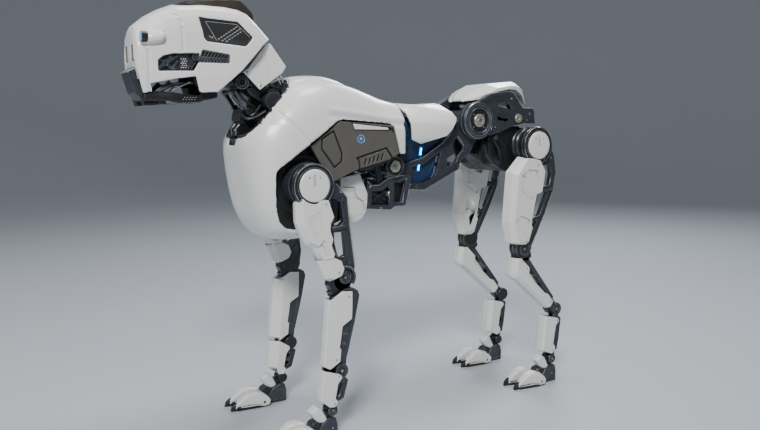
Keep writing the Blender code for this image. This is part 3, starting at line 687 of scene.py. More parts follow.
inner = chest_rings(-4.6)
chest_inner = skin([[p + Vector((0, -0.03, 0.03)) for p in inner[0]], *inner, [p + Vector((0, 0.03, 0)) for p in inner[-1]]])
chest = solid(skin(chest_rings(0)), [
    ("DIFFERENCE", chest_inner),
    ("DIFFERENCE", prism(SIDE_CUT, 99, 165)),
    ("DIFFERENCE", prism(SIDE_CUT, -165, -99)),
    ("DIFFERENCE", prism(BELLY_CUT, -165, 165)),
    ("DIFFERENCE", prism(NOTCH, -19, 19)),
], voxel=2.3, relax=2)
place("chest_shell_moulded", "chest", shaped(chest, chest_relief), WHITE, ["chest_shell"])

# black lining just inside the openings
lining = chest_rings(-5.2)
lining_in = chest_rings(-10.0)
neck_lip = skin(lining[:7])
neck_lip_cut = skin([[p + Vector((0, -0.03, 0.03)) for p in lining_in[0]], *lining_in[:8]])
rim_mesh = solid(neck_lip, [("DIFFERENCE", neck_lip_cut),
                            ("DIFFERENCE", prism([(-500, 500), (-500, 648), (-415, 648), (-250, 760), (-250, 500)], -170, 170)),
                            ("DIFFERENCE", prism(NOTCH, -16, 16))], bevel=0.0)
place("chest_neck_rim", "chest", rim_mesh, BLACK)

WELL = [(-336, 651), (-379, 619), (-404, 601), (-409, 567), (-405, 526), (-397, 495), (-381, 466), (-330, 452), (-252, 470), (-244, 584), (-262, 640), (-300, 676)]
for s, word in ((1, "left"), (-1, "right")):
    well = solid(prism(WELL, s * 84, s * 96), [("UNION", drum(SHOULDER, 66, s * 90, s * 101, 48)),
                                               ("DIFFERENCE", drum(SHOULDER, 56, s * 97, s * 110, 48))], bevel=1.5)
    place(f"shoulder_well_{word}", "chest", well, BLACK)
    # turned shoulder drum with machined steps
    steps = [(s * 100, 45.5), (s * 108, 47), (s * 109, 44.5), (s * 111, 44.5), (s * 112, 47.2), (s * 119, 47.2), (s * 120, 45), (s * 122, 45),
             (s * 123, 46.6), (s * 127.2, 46.6), (s * 128.4, 45)]
    add("shoulder_drums", "chest", BLACK, revolve(SHOULDER, steps, 56))
    add("shoulder_drum_bands", "chest", ALLOY, hoop(SHOULDER, 46.4, 1.1, s * 110, 56, 8), hoop(SHOULDER, 46.4, 0.9, s * 121, 56, 8))

# Side panels ------------------------------------------------------------------------------------
PANEL = [(-327, 652), (-254, 705.5), (-113, 695.5), (-97, 632), (-122, 618), (-210, 598), (-245, 584), (-270, 573), (-303, 612)]
HATCH = [(-299, 667), (-270, 684), (-250, 634), (-252, 616), (-269, 604), (-300, 645)]
LOUVRE = [(-211, 623), (-133, 644), (-116, 620), (-122, 615), (-204, 595), (-206, 617)]
STRIP = [(-226, 701), (-124, 690.5), (-121, 684), (-219, 686)]


def side_panel(s):
    x = s * 120.5
    slots = []
    for k in range(5):
        y, z = -188.5 + 11.2 * k, 613.5 + 2.75 * k
        slots.append(("DIFFERENCE", groove([(y - 3.0, z - 7.5), (y + 1.8, z + 7.5)], 4.6, s * 108, s * 130)))
    return solid(prism(PANEL, s * 112, x), [
        ("DIFFERENCE", rim(inset(HATCH, -2.4), 5.0, s * 117.4, s * 130)),
        ("DIFFERENCE", rim(inset(LOUVRE, -2.4), 5.2, s * 116.6, s * 130)),
        ("DIFFERENCE", prism(inset(LOUVRE, 2.2), s * 119.6, s * 130)),
        *slots,
        ("DIFFERENCE", prism(inset(STRIP, -1.4), s * 117.5, s * 130)),
        ("DIFFERENCE", drum((-201, 666), 10.2, s * 119.7, s * 130, 40)),
    ], bevel=0.7)


for s, word in ((1, "left"), (-1, "right")):
    place(f"side_panel_{word}_skin", "chest", side_panel(s), TAUPE, [f"side_panel_{word}"])
    # white cover strip with black ends
    strip = prism(inset([(-222, 700.5), (-130, 690.8), (-127, 685), (-217, 686.8)], 0.4), s * 117.6, s * 121.6)
    place(f"panel_strip_{word}", "chest", solid(strip, bevel=1.0), WHITE)
    add("panel_clips", "chest", BLACK, prism([(-127.5, 691.5), (-116, 690.5), (-113, 680), (-117, 679.5), (-120, 686.5), (-126.5, 686)], s * 112.5, s * 121.2))
    # channels of the hatch and the louvre frame, lined dark
    add("panel_channels", "chest", BLACK, rim(inset(HATCH, -2.0), 4.2, s * 116.2, s * 118.0), rim(inset(LOUVRE, -2.0), 4.4, s * 115.4, s * 117.2), prism(inset(LOUVRE, 3), s * 108, s * 111.6))
    # ring light: two arcs and a dot
    add("panel_ring_light", "chest", RING_GLOW, hoop((-201, 666), 8.6, 0.75, s * 120.0, 48, 6), revolve((-201, 666), [(s * 119.2, 3.4), (s * 120.3, 3.4), (s * 120.6, 2.6)], 24))
    add("panel_screws", "chest", STEEL, screw(s * 119.4, -126, 625, s, 1.6, 0.5))

# Belly fairing ----------------------------------------------------------------------------------
fairing = solid(prism([(-236, 471), (-211, 469), (-190, 473), (-176, 481), (-167, 496), (-163, 516), (-162.5, 538), (-183, 586), (-236, 578)], -84, 84), [
    ("DIFFERENCE", prism([(-290, 477), (-213, 476), (-192, 480), (-174, 500), (-169.5, 536), (-186, 576), (-187, 620), (-290, 620)], -78, 78)),
    ("DIFFERENCE", groove([(-229, 556), (-199, 553), (-193, 531), (-176, 520), (-172, 500)], 2.6, 81.8, 90)),
    ("DIFFERENCE", groove([(-229, 556), (-199, 553), (-193, 531), (-176, 520), (-172, 500)], 2.6, -90, -81.8)),
    ("DIFFERENCE", prism([(-240, 548), (-202, 548), (-197, 530), (-181, 521), (-178, 492), (-240, 476)], 83.0, 90)),
    ("DIFFERENCE", prism([(-240, 548), (-202, 548), (-197, 530), (-181, 521), (-178, 492), (-240, 476)], -90, -83.0)),
], first=3.5, segs=3)
place("belly_fairing_moulded", "chest", fairing, WHITE, ["belly_fairing"])
for s in (1, -1):
    add("fairing_screws", "chest", STEEL, screw(s * 83.6, -221, 571, s, 2.2, 0.8))


# Leg covers -------------------------------------------------------------------------------------
def facets(*stations):
    """A cover built from side-view outlines of one point count at several X positions."""
    return skin([[point(x, y, z) for y, z in outline] for x, outline in stations])


def shifted(outline, keys, dy, dz=0.0):
    """The outline with the points numbered in keys moved."""
    return [(y + dy, z + dz) if k in keys else (y, z) for k, (y, z) in enumerate(outline)]


def pocket(poly, out, depth=2.4, lip=2.6, width=40):
    """Shallow pockets with sloping sides on both faces of a cover."""
    small, wide = inset(poly, lip), inset(poly, -lip * 0.7)
    return [("DIFFERENCE", taper(small, out - depth, wide, out + depth)),
            ("DIFFERENCE", taper(wide, out - width - depth, small, out - width + depth))]


def score(path, out, w=1.7, depth=1.1, width=40):
    """A joint line cut into both faces of a cover."""
    return [("DIFFERENCE", groove(path, w, out - depth, out + 3)), ("DIFFERENCE", groove(path, w, out - width - 3, out - width + depth))]


def step_line(path, out, fall=2.8, reach=16.0, width=40):
    """A raised edge: full depth along the path, running out to nothing on its right-hand side."""
    shapes = []
    n = len(path)
    off = []
    for i, (y, z) in enumerate(path):
        ya, za = path[max(i - 1, 0)]
        yb, zb = path[min(i + 1, n - 1)]
        length = math.hypot(yb - ya, zb - za)
        off.append((y + (zb - za) / length * reach, z - (yb - ya) / length * reach))
    for (a, b), (c, d) in zip(zip(path, path[1:]), zip(off, off[1:])):
        for x, s in ((out, 1), (out - width, -1)):
            rings = [[point(x - s * fall, *a), point(x + s * 2, *a), point(x + s * 2, *c), point(x + s * 0.05, *c)],
                     [point(x - s * fall, *b), point(x + s * 2, *b), point(x + s * 2, *d), point(x + s * 0.05, *d)]]
            shapes.append(("DIFFERENCE", skin(rings)))
    return shapes


def cover_pair(part, group, link, base, steps, edge=2.0, segs=3, limit=9):
    mesh = weighted(sharpened(solid(base, steps, first=edge, segs=segs, angle=limit), 38))
    for side, one in (("left", mesh), ("right", mirrored(mesh))):
        corner = f"{group}_{side}"
        place(f"{corner}_{part}_moulded", f"{corner}_{link}", one, WHITE, [f"{corner}_{part}"])


def sharpened(mesh, angle):
    mesh.shade_smooth()
    mesh.set_sharp_from_angle(angle=math.radians(angle))
    return mesh


def corner_add(label, group, link, look, make):
    """make() gives shapes for the left corner; the right corner gets their mirror images."""
    add(label, f"{group}_left_{link}", look, *make())
    add(label, f"{group}_right_{link}", look, *[flip_shape(b) for b in make()])


def corner_place(label, group, link, look, mesh, stands=()):
    for side, one in (("left", mesh), ("right", mirrored(mesh))):
        corner = f"{group}_{side}"
        place(f"{corner}_{label}", f"{corner}_{link}", one, look, [f"{corner}_{s}" for s in stands])


# front upper cover: front face, facet, outer face
O = FORE_OUT
TOP = [(-304, 535), (-315, 537.5), (-325, 535.5)] + arc(SHOULDER, 39.0, 278, 222, 6)
BACK = [(-274, 366), (-267, 380), (-274, 399), (-293, 409), (-290, 415), (-298, 436), (-294, 448), (-301, 469), (-299, 485), (-291, 498)]
ARM_FRONT = [(-378, 531), (-377, 490), (-372, 476), (-356, 441), (-339, 428), (-326, 398), (-311, 360), (-297, 353)]
ARM_CREASE = [(-366, 533), (-365.5, 489), (-361, 476), (-348, 447), (-331, 436), (-314, 405), (-299, 365), (-293, 360)]
arm = facets((O - 40, ARM_CREASE + BACK + TOP), (O - 28, ARM_FRONT + BACK + TOP), (O - 15, ARM_FRONT + BACK + TOP), (O, ARM_CREASE + BACK + TOP))
cover_pair("upper_cover", "front", "upper", arm, [
    ("DIFFERENCE", prism([(-360, 600), (-359, 491), (-342, 452), (-326, 440), (-309, 408), (-295, 370), (-292, 340), (-200, 340), (-200, 600)], O - 33.7, O - 6.3)),
    ("DIFFERENCE", drum(SHOULDER, 54, O - 46, O - 28.9, 48)),
    *pocket([(-354, 487), (-351, 503), (-324, 514), (-318, 470), (-338, 458)], O, 2.6, 3.0),
    *pocket([(-315, 413), (-322, 433), (-312, 441), (-299, 414)], O, 2.2, 2.4),
    *score([(-352, 404), (-330, 405), (-310, 405), (-294, 407), (-280, 403)], O, 1.5, 1.2),
    ("DIFFERENCE", prism([(-345, 404), (-318, 404), (-318, 405.6), (-345, 405.6)], O - 43, O + 3)),
    *step_line([(-366, 450), (-349, 446.5), (-332, 435.8), (-324, 441), (-319, 449)], O, 3.0, 14),
])
corner_add("cover_screws", "front", "upper", STEEL, lambda: [screw(O - 0.3, -311, 527, 1, 2.6, 0.7), screw(O - 0.3, -281, 374, 1, 2.6, 0.7)])

# front lower cover
SHIN_OUT = [(-309, 314), (-322, 167), (-320, 165), (-306, 158), (-296, 163.5), (-281, 172), (-278, 199), (-282, 205), (-278, 225), (-274, 252), (-250, 266),
            (-248.5, 298), (-248, 328), (-273, 331), (-299, 315)]
shin = facets((O - 40, shifted(SHIN_OUT, (0, 1, 2), 18)), (O - 19, SHIN_OUT), (O - 2, SHIN_OUT), (O, shifted(SHIN_OUT, (0, 1, 2), 1.5)))
SHIN_IN = [(-302, 400), (-302, 314), (-316, 169), (-316, 100), (-200, 100), (-200, 400)]
cover_pair("lower_cover", "front", "lower", shin, [
    ("DIFFERENCE", facets((O - 33.7, shifted(SHIN_IN, (0, 1, 2, 3), 17)), (O - 17, SHIN_IN), (O - 6.3, SHIN_IN))),
])
corner_add("cover_screws", "front", "lower", STEEL, lambda: [screw(O - 0.3, -257, 317, 1, 2.6, 0.7), screw(O - 0.3, -290, 177, 1, 2.6, 0.7)])

# front pastern cover
PASTERN = [(-322, 157), (-331, 90), (-309, 71.5), (-296, 70), (-289.5, 76), (-289, 83), (-294, 89), (-290.5, 105), (-287, 122), (-277, 133), (-277.5, 139), (-284, 144)]
past = facets((O - 40, shifted(PASTERN, (0, 1), 18)), (O - 20, PASTERN), (O - 2, PASTERN), (O, shifted(PASTERN, (0, 1), 1.5)))
PASTERN_IN = [(-315, 220), (-315.5, 158), (-324, 96), (-308, 40), (-200, 40), (-200, 220)]
cover_pair("pastern_cover", "front", "pastern", past, [
    ("DIFFERENCE", facets((O - 33.7, shifted(PASTERN_IN, (0, 1, 2, 3), 17)), (O - 18, PASTERN_IN), (O - 6.3, PASTERN_IN))),
])
corner_add("cover_screws", "front", "pastern", STEEL, lambda: [screw(O - 0.3, -284, 138, 1, 2.6, 0.7), screw(O - 0.3, -296, 77, 1, 2.6, 0.7)])

# rear upper cover
O2 = HIND_OUT
THIGH_BACK = [(285, 385), (295, 391), (308, 428), (303, 436), (311, 475), (320, 514), (339, 519), (349, 573), (331, 602), (310, 607.5)]
THIGH_FRONT = [(279, 613), (239, 574), (228, 445), (241, 390), (261, 383.5)]
THIGH_A = [(282, 610), (245, 573), (235, 447), (247, 389.5), (263, 384)]
THIGH_B = [(289, 608), (257, 569), (245, 447), (260, 389), (268, 386)]
thigh = facets((O2 - 40, THIGH_B + THIGH_BACK), (O2 - 33, THIGH_FRONT + THIGH_BACK), (O2 - 13, THIGH_A + THIGH_BACK), (O2, THIGH_B + THIGH_BACK))
cover_pair("upper_cover", "rear", "upper", thigh, [
    ("DIFFERENCE", prism([(296, 700), (296, 604), (264, 566), (252, 447), (266, 398), (268, 340), (500, 340), (500, 700)], O2 - 33.7, O2 - 6.3)),
    ("DIFFERENCE", drum(HIP, 52, O2 - 46, O2 - 28.9, 48)),
    *step_line([(269, 532), (270, 566), (294, 580), (322, 576)], O2, 3.0, 18),
    *step_line([(303, 501), (265, 524)], O2, 3.2, 15),
    *step_line([(249, 447), (267, 462), (297, 449)], O2, 3.0, 16),
    *step_line([(268, 393), (268, 388), (293, 393)], O2, 1.0, 6),
    *score([(272, 391), (284, 394), (294, 402)], O2, 1.2, 0.9),
])
corner_add("cover_screws", "rear", "upper", STEEL, lambda: [screw(O2 - 0.3, 323, 590, 1, 2.6, 0.7), screw(O2 - 0.3, 288, 391, 1, 2.4, 0.7)])

# rear lower cover
SHANK_BACK = [(377, 208.5), (386, 221), (367, 244), (356, 247.5), (296, 303), (299, 314), (299, 322), (271, 349.5)]
SHANK_SIL = [(249, 351), (241, 309), (246, 298), (265, 289), (368, 203)]
SHANK_A = [(258, 349), (252, 309), (258, 299), (268, 292.5), (370, 205)]
SHANK_B = [(263, 348.5), (259, 314), (264, 303), (272, 297), (371, 207)]
shank = facets((O2 - 40, SHANK_A + SHANK_BACK), (O2 - 30, SHANK_SIL + SHANK_BACK), (O2 - 10, SHANK_SIL + SHANK_BACK), (O2, SHANK_B + SHANK_BACK))
cover_pair("lower_cover", "rear", "lower", shank, [
    ("DIFFERENCE", prism([(268, 420), (264, 318), (276, 302), (369, 222), (378, 180), (480, 180), (480, 420)], O2 - 33.7, O2 - 6.3)),
    *pocket([(264, 344), (262, 330), (268, 326), (272, 342)], O2, 0.8, 1.0),
])
corner_add("cover_screws", "rear", "lower", STEEL, lambda: [screw(O2 - 0.3, 276, 341, 1, 3.4, 0.7), screw(O2 - 0.3, 290, 320, 1, 2.6, 0.7), screw(O2 - 0.3, 377, 222, 1, 2.6, 0.7)])

# rear pastern cover
HOCKC = [(360, 183), (349, 89.5), (384, 76), (395.5, 82), (396, 96), (389, 103), (393, 128), (398, 153), (409, 164), (406, 171), (400, 174)]
hockc = facets((O2 - 40, shifted(HOCKC, (0, 1), 9)), (O2 - 32, shifted(HOCKC, (0, 1), 2)), (O2 - 26, HOCKC), (O2 - 6, HOCKC), (O2, shifted(HOCKC, (0, 1), 3)))
cover_pair("pastern_cover", "rear", "pastern", hockc, [
    ("DIFFERENCE", prism([(367, 280), (367, 182), (359, 97), (378, 40), (480, 40), (480, 280)], O2 - 33.7, O2 - 6.3)),
], edge=2.2)
corner_add("cover_screws", "rear", "pastern", STEEL, lambda: [screw(O2 - 0.3, 401, 166, 1, 2.6, 0.7), screw(O2 - 0.3, 388, 84, 1, 2.6, 0.7)])
# Hubs and leg frames ----------------------------------------------------------------------------
def machined(base, steps=(), edge=1.0, segs=2, limit=24):
    return weighted(sharpened(solid(base, steps, first=edge, segs=segs, angle=limit), 40))


def hub(group, centre, out):
    """Round cap with three dimples and a slot, over a stepped bearing ring with bright rims."""
    y, z = centre
    r = 36.0
    cap = revolve(centre, [(out - 8.0, 0), (out - 8.0, r - 1.0), (out - 4.6, r), (out - 2.4, r - 0.5), (out - 1.1, r - 1.8), (out - 0.5, r - 3.6), (out - 0.1, r - 12), (out, 0)], 72)
    steps = [("DIFFERENCE", revolve((y + 20.5 * math.cos(math.radians(a)), z + 20.5 * math.sin(math.radians(a))), [(out - 2.4, 0), (out - 2.4, 2.0), (out + 1, 3.9), (out + 1, 0)], 16)) for a in (52, 90, 128)]
    steps.append(("DIFFERENCE", prism([(y - 2.0, z + 3), (y + 2.0, z + 3), (y + 2.0, z + 20), (y - 2.0, z + 20)], out - 2.0, out + 2)))
    steps.append(("DIFFERENCE", revolve((y, z + 1), [(out - 2.6, 0), (out - 2.6, 2.4), (out + 1, 4.2), (out + 1, 0)], 18)))
    corner_place("hub_cap_disc", group, "upper", WHITE, weighted(sharpened(solid(cap, steps), 30)), ["hub_cap"])
    corner_add("hub_ring", group, "upper", BLACK, lambda: [revolve(centre, [(out - 28.6, 0), (out - 28.6, 46), (out - 27, 48), (out - 18, 48), (out - 17, 46.5), (out - 15, 46.5),
               (out - 14, 49), (out - 8, 49), (out - 6.4, 48), (out - 5.6, 46.6), (out - 6.2, 43.5), (out - 8.6, 42.2), (out - 8.6, 40.5), (out - 6.8, 39.6),
               (out - 6.4, 38.6), (out - 7.2, 37.4), (out - 9, 36.8), (out - 9, 0)], 80)])
    corner_add("hub_bright_rims", group, "upper", STEEL, lambda: [hoop(centre, 46.8, 0.75, out - 5.9, 72, 8), hoop(centre, 38.9, 0.55, out - 6.3, 64, 8), hoop(centre, 48.6, 0.5, out - 13.9, 72, 6)])


hub("front", SHOULDER, O)
hub("rear", HIP, O2)


def frame_plate(outline, holes, x0, x1, deep=2.2, lip=3.4, edge=1.2, extra=()):
    """A cast link plate: rounded edges, sunken web on both faces, openings with their own lips."""
    steps = []
    core = inset(outline, lip)
    steps += [("DIFFERENCE", prism(core, x1 - deep, x1 + 3)), ("DIFFERENCE", prism(core, x0 - 3, x0 + deep))]
    for hole in holes:
        steps += [("UNION", prism(inset(hole, -lip), x0 + 0.4, x1 - 0.4))]
    for hole in holes:
        steps += [("DIFFERENCE", prism(hole, x0 - 5, x1 + 5))]
    return machined(prism(outline, x0, x1), [*steps, *extra], edge)


# front upper frame
FU = [(-356, 545), (-300, 592), (-281, 571), (-252, 538), (-247, 480), (-234, 381), (-238, 352), (-262, 342), (-284, 352), (-298, 372), (-312, 404), (-350, 470)]
FU_HOLES = [[(-292, 540), (-268, 529), (-262, 486), (-274, 474), (-292, 478)], [(-286, 462), (-262, 462), (-257, 410), (-270, 404), (-284, 410)]]
corner_place("upper_frame_cast", "front", "upper", ALLOY, frame_plate(FU, FU_HOLES, O - 27, O - 13, extra=[
    ("UNION", drum(ELBOW, 19, O - 27, O - 13, 40)),
    ("UNION", bar((-292, 470), (-255, 474), 8, O - 30, O - 11)),
]), ["upper_frame"])
corner_add("upper_strut", "front", "upper", TAUPE, lambda: [prism([(-300, 500), (-282, 492), (-283, 440), (-273, 406), (-284, 398), (-302, 420)], O - 31, O - 19)])
corner_add("upper_frame_pins", "front", "upper", ALLOY, lambda: [drum((-266, 534), 3.4, O - 30, O - 8, 16), drum((-250, 392), 3, O - 29, O - 11, 16), drum((-345, 480), 5.5, O - 30, O - 8, 16)])
corner_add("upper_frame_bright", "front", "upper", STEEL, lambda: [screw(O - 12.5, -268, 552, 1, 3.0, 0.8), tube([(O - 12.8, -279, 570), (O - 12.8, -250.6, 537), (O - 12.8, -245.6, 480), (O - 12.8, -233, 383)], 0.8, 6)])


def pivot(group, link, centre, r, half_in, half_out, face):
    """A round link pivot: dark drum with stepped face, ring and centre bolt; face is the outer X."""
    corner_add(f"pivot_{int(centre[0])}_{int(centre[1])}", group, link, BLACK, lambda: [
        revolve(centre, [(face - half_in, 0), (face - half_in, r - 1), (face - half_in + 1, r), (face - 2.4, r), (face - 1.2, r - 0.8), (face - 0.4, r - 2), (face - 0.4, r - 4.4),
                         (face - 2.2, r - 5.2), (face - 2.2, r * 0.45), (face - 0.9, r * 0.40), (face - 0.9, 0)], 40)])
    corner_add(f"pivot_rim_{int(centre[0])}_{int(centre[1])}", group, link, ALLOY, lambda: [
        hoop(centre, r - 1.3, 0.85, face - 0.7, 44, 8), hoop(centre, r - 5.6, 0.7, face - 1.9, 36, 6)])
    corner_add(f"pivot_bolt_{int(centre[0])}_{int(centre[1])}", group, link, STEEL, lambda: [
        revolve(centre, [(face - 2, 0), (face - 2, r * 0.22), (face - 0.2, r * 0.20), (face - 0.2, r * 0.1), (face - 1.2, r * 0.1), (face - 1.2, 0)], 6)])


def crescent(group, link, centre, r0, r1, a0, a1, x0, x1, look=ALLOY, label="guard"):
    def make():
        rows = arc(centre, r1, a0, a1, 22) + arc(centre, r0, a1, a0, 22)
        return [prism(rows, x0, x1)]
    corner_add(label, group, link, look, make)


# elbow
pivot("front", "lower", ELBOW, 14.5, 34, 0, O - 6)
crescent("front", "upper", ELBOW, 22.0, 26.5, -40, 128, O - 13, O - 6, ALLOY, "elbow_guard")
crescent("front", "upper", ELBOW, 25.4, 26.8, -38, 126, O - 6.6, O - 5.4, STEEL, "elbow_guard_rim")
corner_add("elbow_boot", "front", "lower", BLACK, lambda: [
    revolve((-266, 352), [(O - 38, 0), (O - 38, 21), (O - 35, 24), (O - 14, 24), (O - 12, 21), (O - 12, 0)], 40),
    prism([(-300, 345), (-288, 318), (-262, 312), (-246, 330), (-250, 352), (-280, 366), (-298, 356)], O - 35, O - 12)])
corner_add("elbow_boot_ribs", "front", "lower", ALLOY, lambda: [hoop((-266, 352), 23.6, 0.8, O - 31, 44, 6), hoop((-266, 352), 23.6, 0.8, O - 20, 44, 6),
    bar((-296, 322), (-274, 312), 3, O - 30, O - 27), bar((-296, 322), (-274, 312), 3, O - 22, O - 19), drum((-294, 327), 3.4, O - 34, O - 14, 14)])

# front lower frame
FL = [(-292, 318), (-262, 334), (-240, 334), (-229, 327), (-225, 316), (-237, 260), (-257, 184), (-262, 172), (-282, 170), (-296, 200)]
corner_place("lower_frame_cast", "front", "lower", ALLOY, machined(prism(FL, O - 31, O - 9), [
    ("DIFFERENCE", prism(inset([(-272, 246), (-245, 258), (-262, 190), (-276, 196)], 2.5), O - 11, O)),
    ("DIFFERENCE", prism(inset([(-272, 246), (-245, 258), (-262, 190), (-276, 196)], 2.5), O - 45, O - 29)),
    ("DIFFERENCE", prism([(-246, 326), (-234, 322), (-229, 314), (-238, 270), (-246, 268)], O - 10.6, O)),
    ("UNION", bar((-268, 178), WRIST, 20, O - 28, O - 12)),
], 1.4), ["lower_frame"])
corner_add("lower_frame_ribs", "front", "lower", ALLOY, lambda: [bar((-274, 236), (-252, 228), 3, O - 14, O - 9.6), bar((-276, 214), (-258, 206), 3, O - 14, O - 9.6),
    drum((-266, 232), 3.2, O - 14, O - 8.8, 14), drum((-268, 210), 3.2, O - 14, O - 8.8, 14), tube([(O - 9.4, -226, 315), (O - 9.4, -238, 260), (O - 9.4, -258, 184)], 0.8, 6)])
pivot("front", "lower", WRIST, 16.5, 33, 0, O - 6.5)
# front pastern frame
FP = [(-300, 128), (-262, 130), (-256, 124), (-268, 84), (-282, 78), (-306, 79)]
corner_place("pastern_frame_cast", "front", "pastern", ALLOY, machined(prism(FP, O - 31, O - 9), [
    ("DIFFERENCE", prism([(-304, 118), (-270, 119), (-279, 91), (-304, 92)], O - 45, O + 5)),
    ("UNION", bar((-288, 92), FORE_ANKLE, 17, O - 28, O - 12)),
    ("UNION", bar((-274, 122), (-268, 140), 12, O - 33, O - 28)), ("UNION", bar((-274, 122), (-268, 140), 12, O - 12, O - 7)),
], 1.3), ["pastern_frame"])
corner_add("pastern_link", "front", "pastern", BLACK, lambda: [tube([(O - 10, -264, 128), (O - 10, -276, 82)], 2.6, 10), tube([(O - 30, -264, 128), (O - 30, -276, 82)], 2.6, 10),
    tube([(O - 20, -302, 158), (O - 20, -302, 140)], 8, 16)])
pivot("front", "foot", FORE_ANKLE, 12.5, 30, 0, O - 7)

# rear upper frame
HU = [(292, 640), (372, 646), (390, 612), (397, 566), (387, 517), (356, 451), (314, 374), (300, 358), (276, 356), (264, 374), (256, 402), (252, 447), (262, 560), (290, 596)]
HU_HOLES = [[(350, 588), (374, 590), (382, 566), (375, 534), (350, 532)], [(334, 516), (369, 518), (342, 458), (318, 450)], [(316, 440), (334, 444), (308, 396), (301, 396)]]
corner_place("upper_frame_cast", "rear", "upper", ALLOY, frame_plate(HU, HU_HOLES, O2 - 27, O2 - 13, extra=[
    ("UNION", drum(KNEE, 19, O2 - 27, O2 - 13, 40)),
    ("UNION", bar((330, 520), (384, 526), 9, O2 - 31, O2 - 10)),
]), ["upper_frame"])
corner_add("upper_frame_pins", "rear", "upper", ALLOY, lambda: [drum((377, 524), 3.6, O2 - 32, O2 - 9, 16), drum((352, 606), 5.5, O2 - 28, O2 - 8, 20), drum((310, 372), 3.2, O2 - 30, O2 - 10, 16),
    tube([(O2 - 22, 322, 500), (O2 - 22, 306, 410)], 3.2, 10)])
corner_add("upper_frame_bright", "rear", "upper", STEEL, lambda: [screw(O2 - 7.6, 352, 606, 1, 3.2, 0.8), screw(O2 - 12.6, 378, 608, 1, 2.8, 0.8),
    tube([(O2 - 12.8, 396, 566), (O2 - 12.8, 386.4, 518), (O2 - 12.8, 355, 452), (O2 - 12.8, 314, 376)], 0.8, 6)])
# knee
corner_add("knee_drum", "rear", "lower", BLACK, lambda: [
    revolve(KNEE, [(O2 - 39, 0), (O2 - 39, 22), (O2 - 36, 25.5), (O2 - 24, 25.5), (O2 - 23, 23), (O2 - 21, 23), (O2 - 20, 25.5), (O2 - 9, 25.5), (O2 - 7, 23), (O2 - 7, 0)], 44),
    prism([(262, 372), (306, 372), (312, 350), (300, 340), (262, 342)], O2 - 33, O2 - 9)])
corner_add("knee_drum_rims", "rear", "lower", ALLOY, lambda: [hoop(KNEE, 25.2, 0.9, O2 - 35.5, 48, 6), hoop(KNEE, 25.2, 0.9, O2 - 24, 48, 6), hoop(KNEE, 25.2, 0.9, O2 - 20, 48, 6), hoop(KNEE, 25.2, 0.9, O2 - 9.5, 48, 6)])
pivot("rear", "lower", (286, 372), 18, 12, 0, O2 - 5.5)
# rear lower frame
HL = [(268, 348), (300, 350), (316, 330), (394, 232), (388, 214), (374, 213), (296, 288), (262, 318)]
corner_place("lower_frame_cast", "rear", "lower", ALLOY, machined(prism(HL, O2 - 31, O2 - 9), [
    ("DIFFERENCE", prism([(304, 318), (312, 318), (352, 268), (346, 262), (304, 300)], O2 - 45, O2 + 5)),
    ("UNION", bar((380, 228), HOCK, 20, O2 - 28, O2 - 12)),
    ("UNION", prism([(372, 212), (386, 190), (398, 182), (398, 210), (390, 222)], O2 - 38, O2 - 6)),
], 1.4), ["lower_frame"])
corner_add("lower_frame_ribs", "rear", "lower", ALLOY, lambda: [tube([(O2 - 12, 316, 326), (O2 - 12, 388, 236)], 3.0, 10), tube([(O2 - 28, 316, 326), (O2 - 28, 388, 236)], 3.0, 10),
    bar((326, 300), (342, 288), 4, O2 - 30, O2 - 10), drum((344, 286), 3.4, O2 - 32, O2 - 8, 14), screw(O2 - 9, 310, 334, 1, 3, 0.8)])
pivot("rear", "lower", HOCK, 17.5, 34, 0, O2 - 6.5)
# rear pastern frame
HP = [(384, 172), (418, 174), (423, 168), (416, 110), (410, 82), (382, 80), (380, 150)]
corner_place("pastern_frame_cast", "rear", "pastern", ALLOY, machined(prism(HP, O2 - 31, O2 - 9), [
    ("DIFFERENCE", prism([(394, 162), (410, 162), (405, 112), (393, 112)], O2 - 45, O2 + 5)),
    ("UNION", bar((400, 90), HIND_ANKLE, 17, O2 - 28, O2 - 12)),
    ("UNION", bar((406, 168), (404, 186), 13, O2 - 33, O2 - 28)), ("UNION", bar((406, 168), (404, 186), 13, O2 - 12, O2 - 7)),
], 1.3), ["pastern_frame"])
corner_add("pastern_link", "rear", "pastern", BLACK, lambda: [tube([(O2 - 10, 416, 164), (O2 - 10, 407, 88)], 2.8, 10), tube([(O2 - 30, 416, 164), (O2 - 30, 407, 88)], 2.8, 10)])
pivot("rear", "foot", HIND_ANKLE, 12.5, 30, 0, O2 - 7)


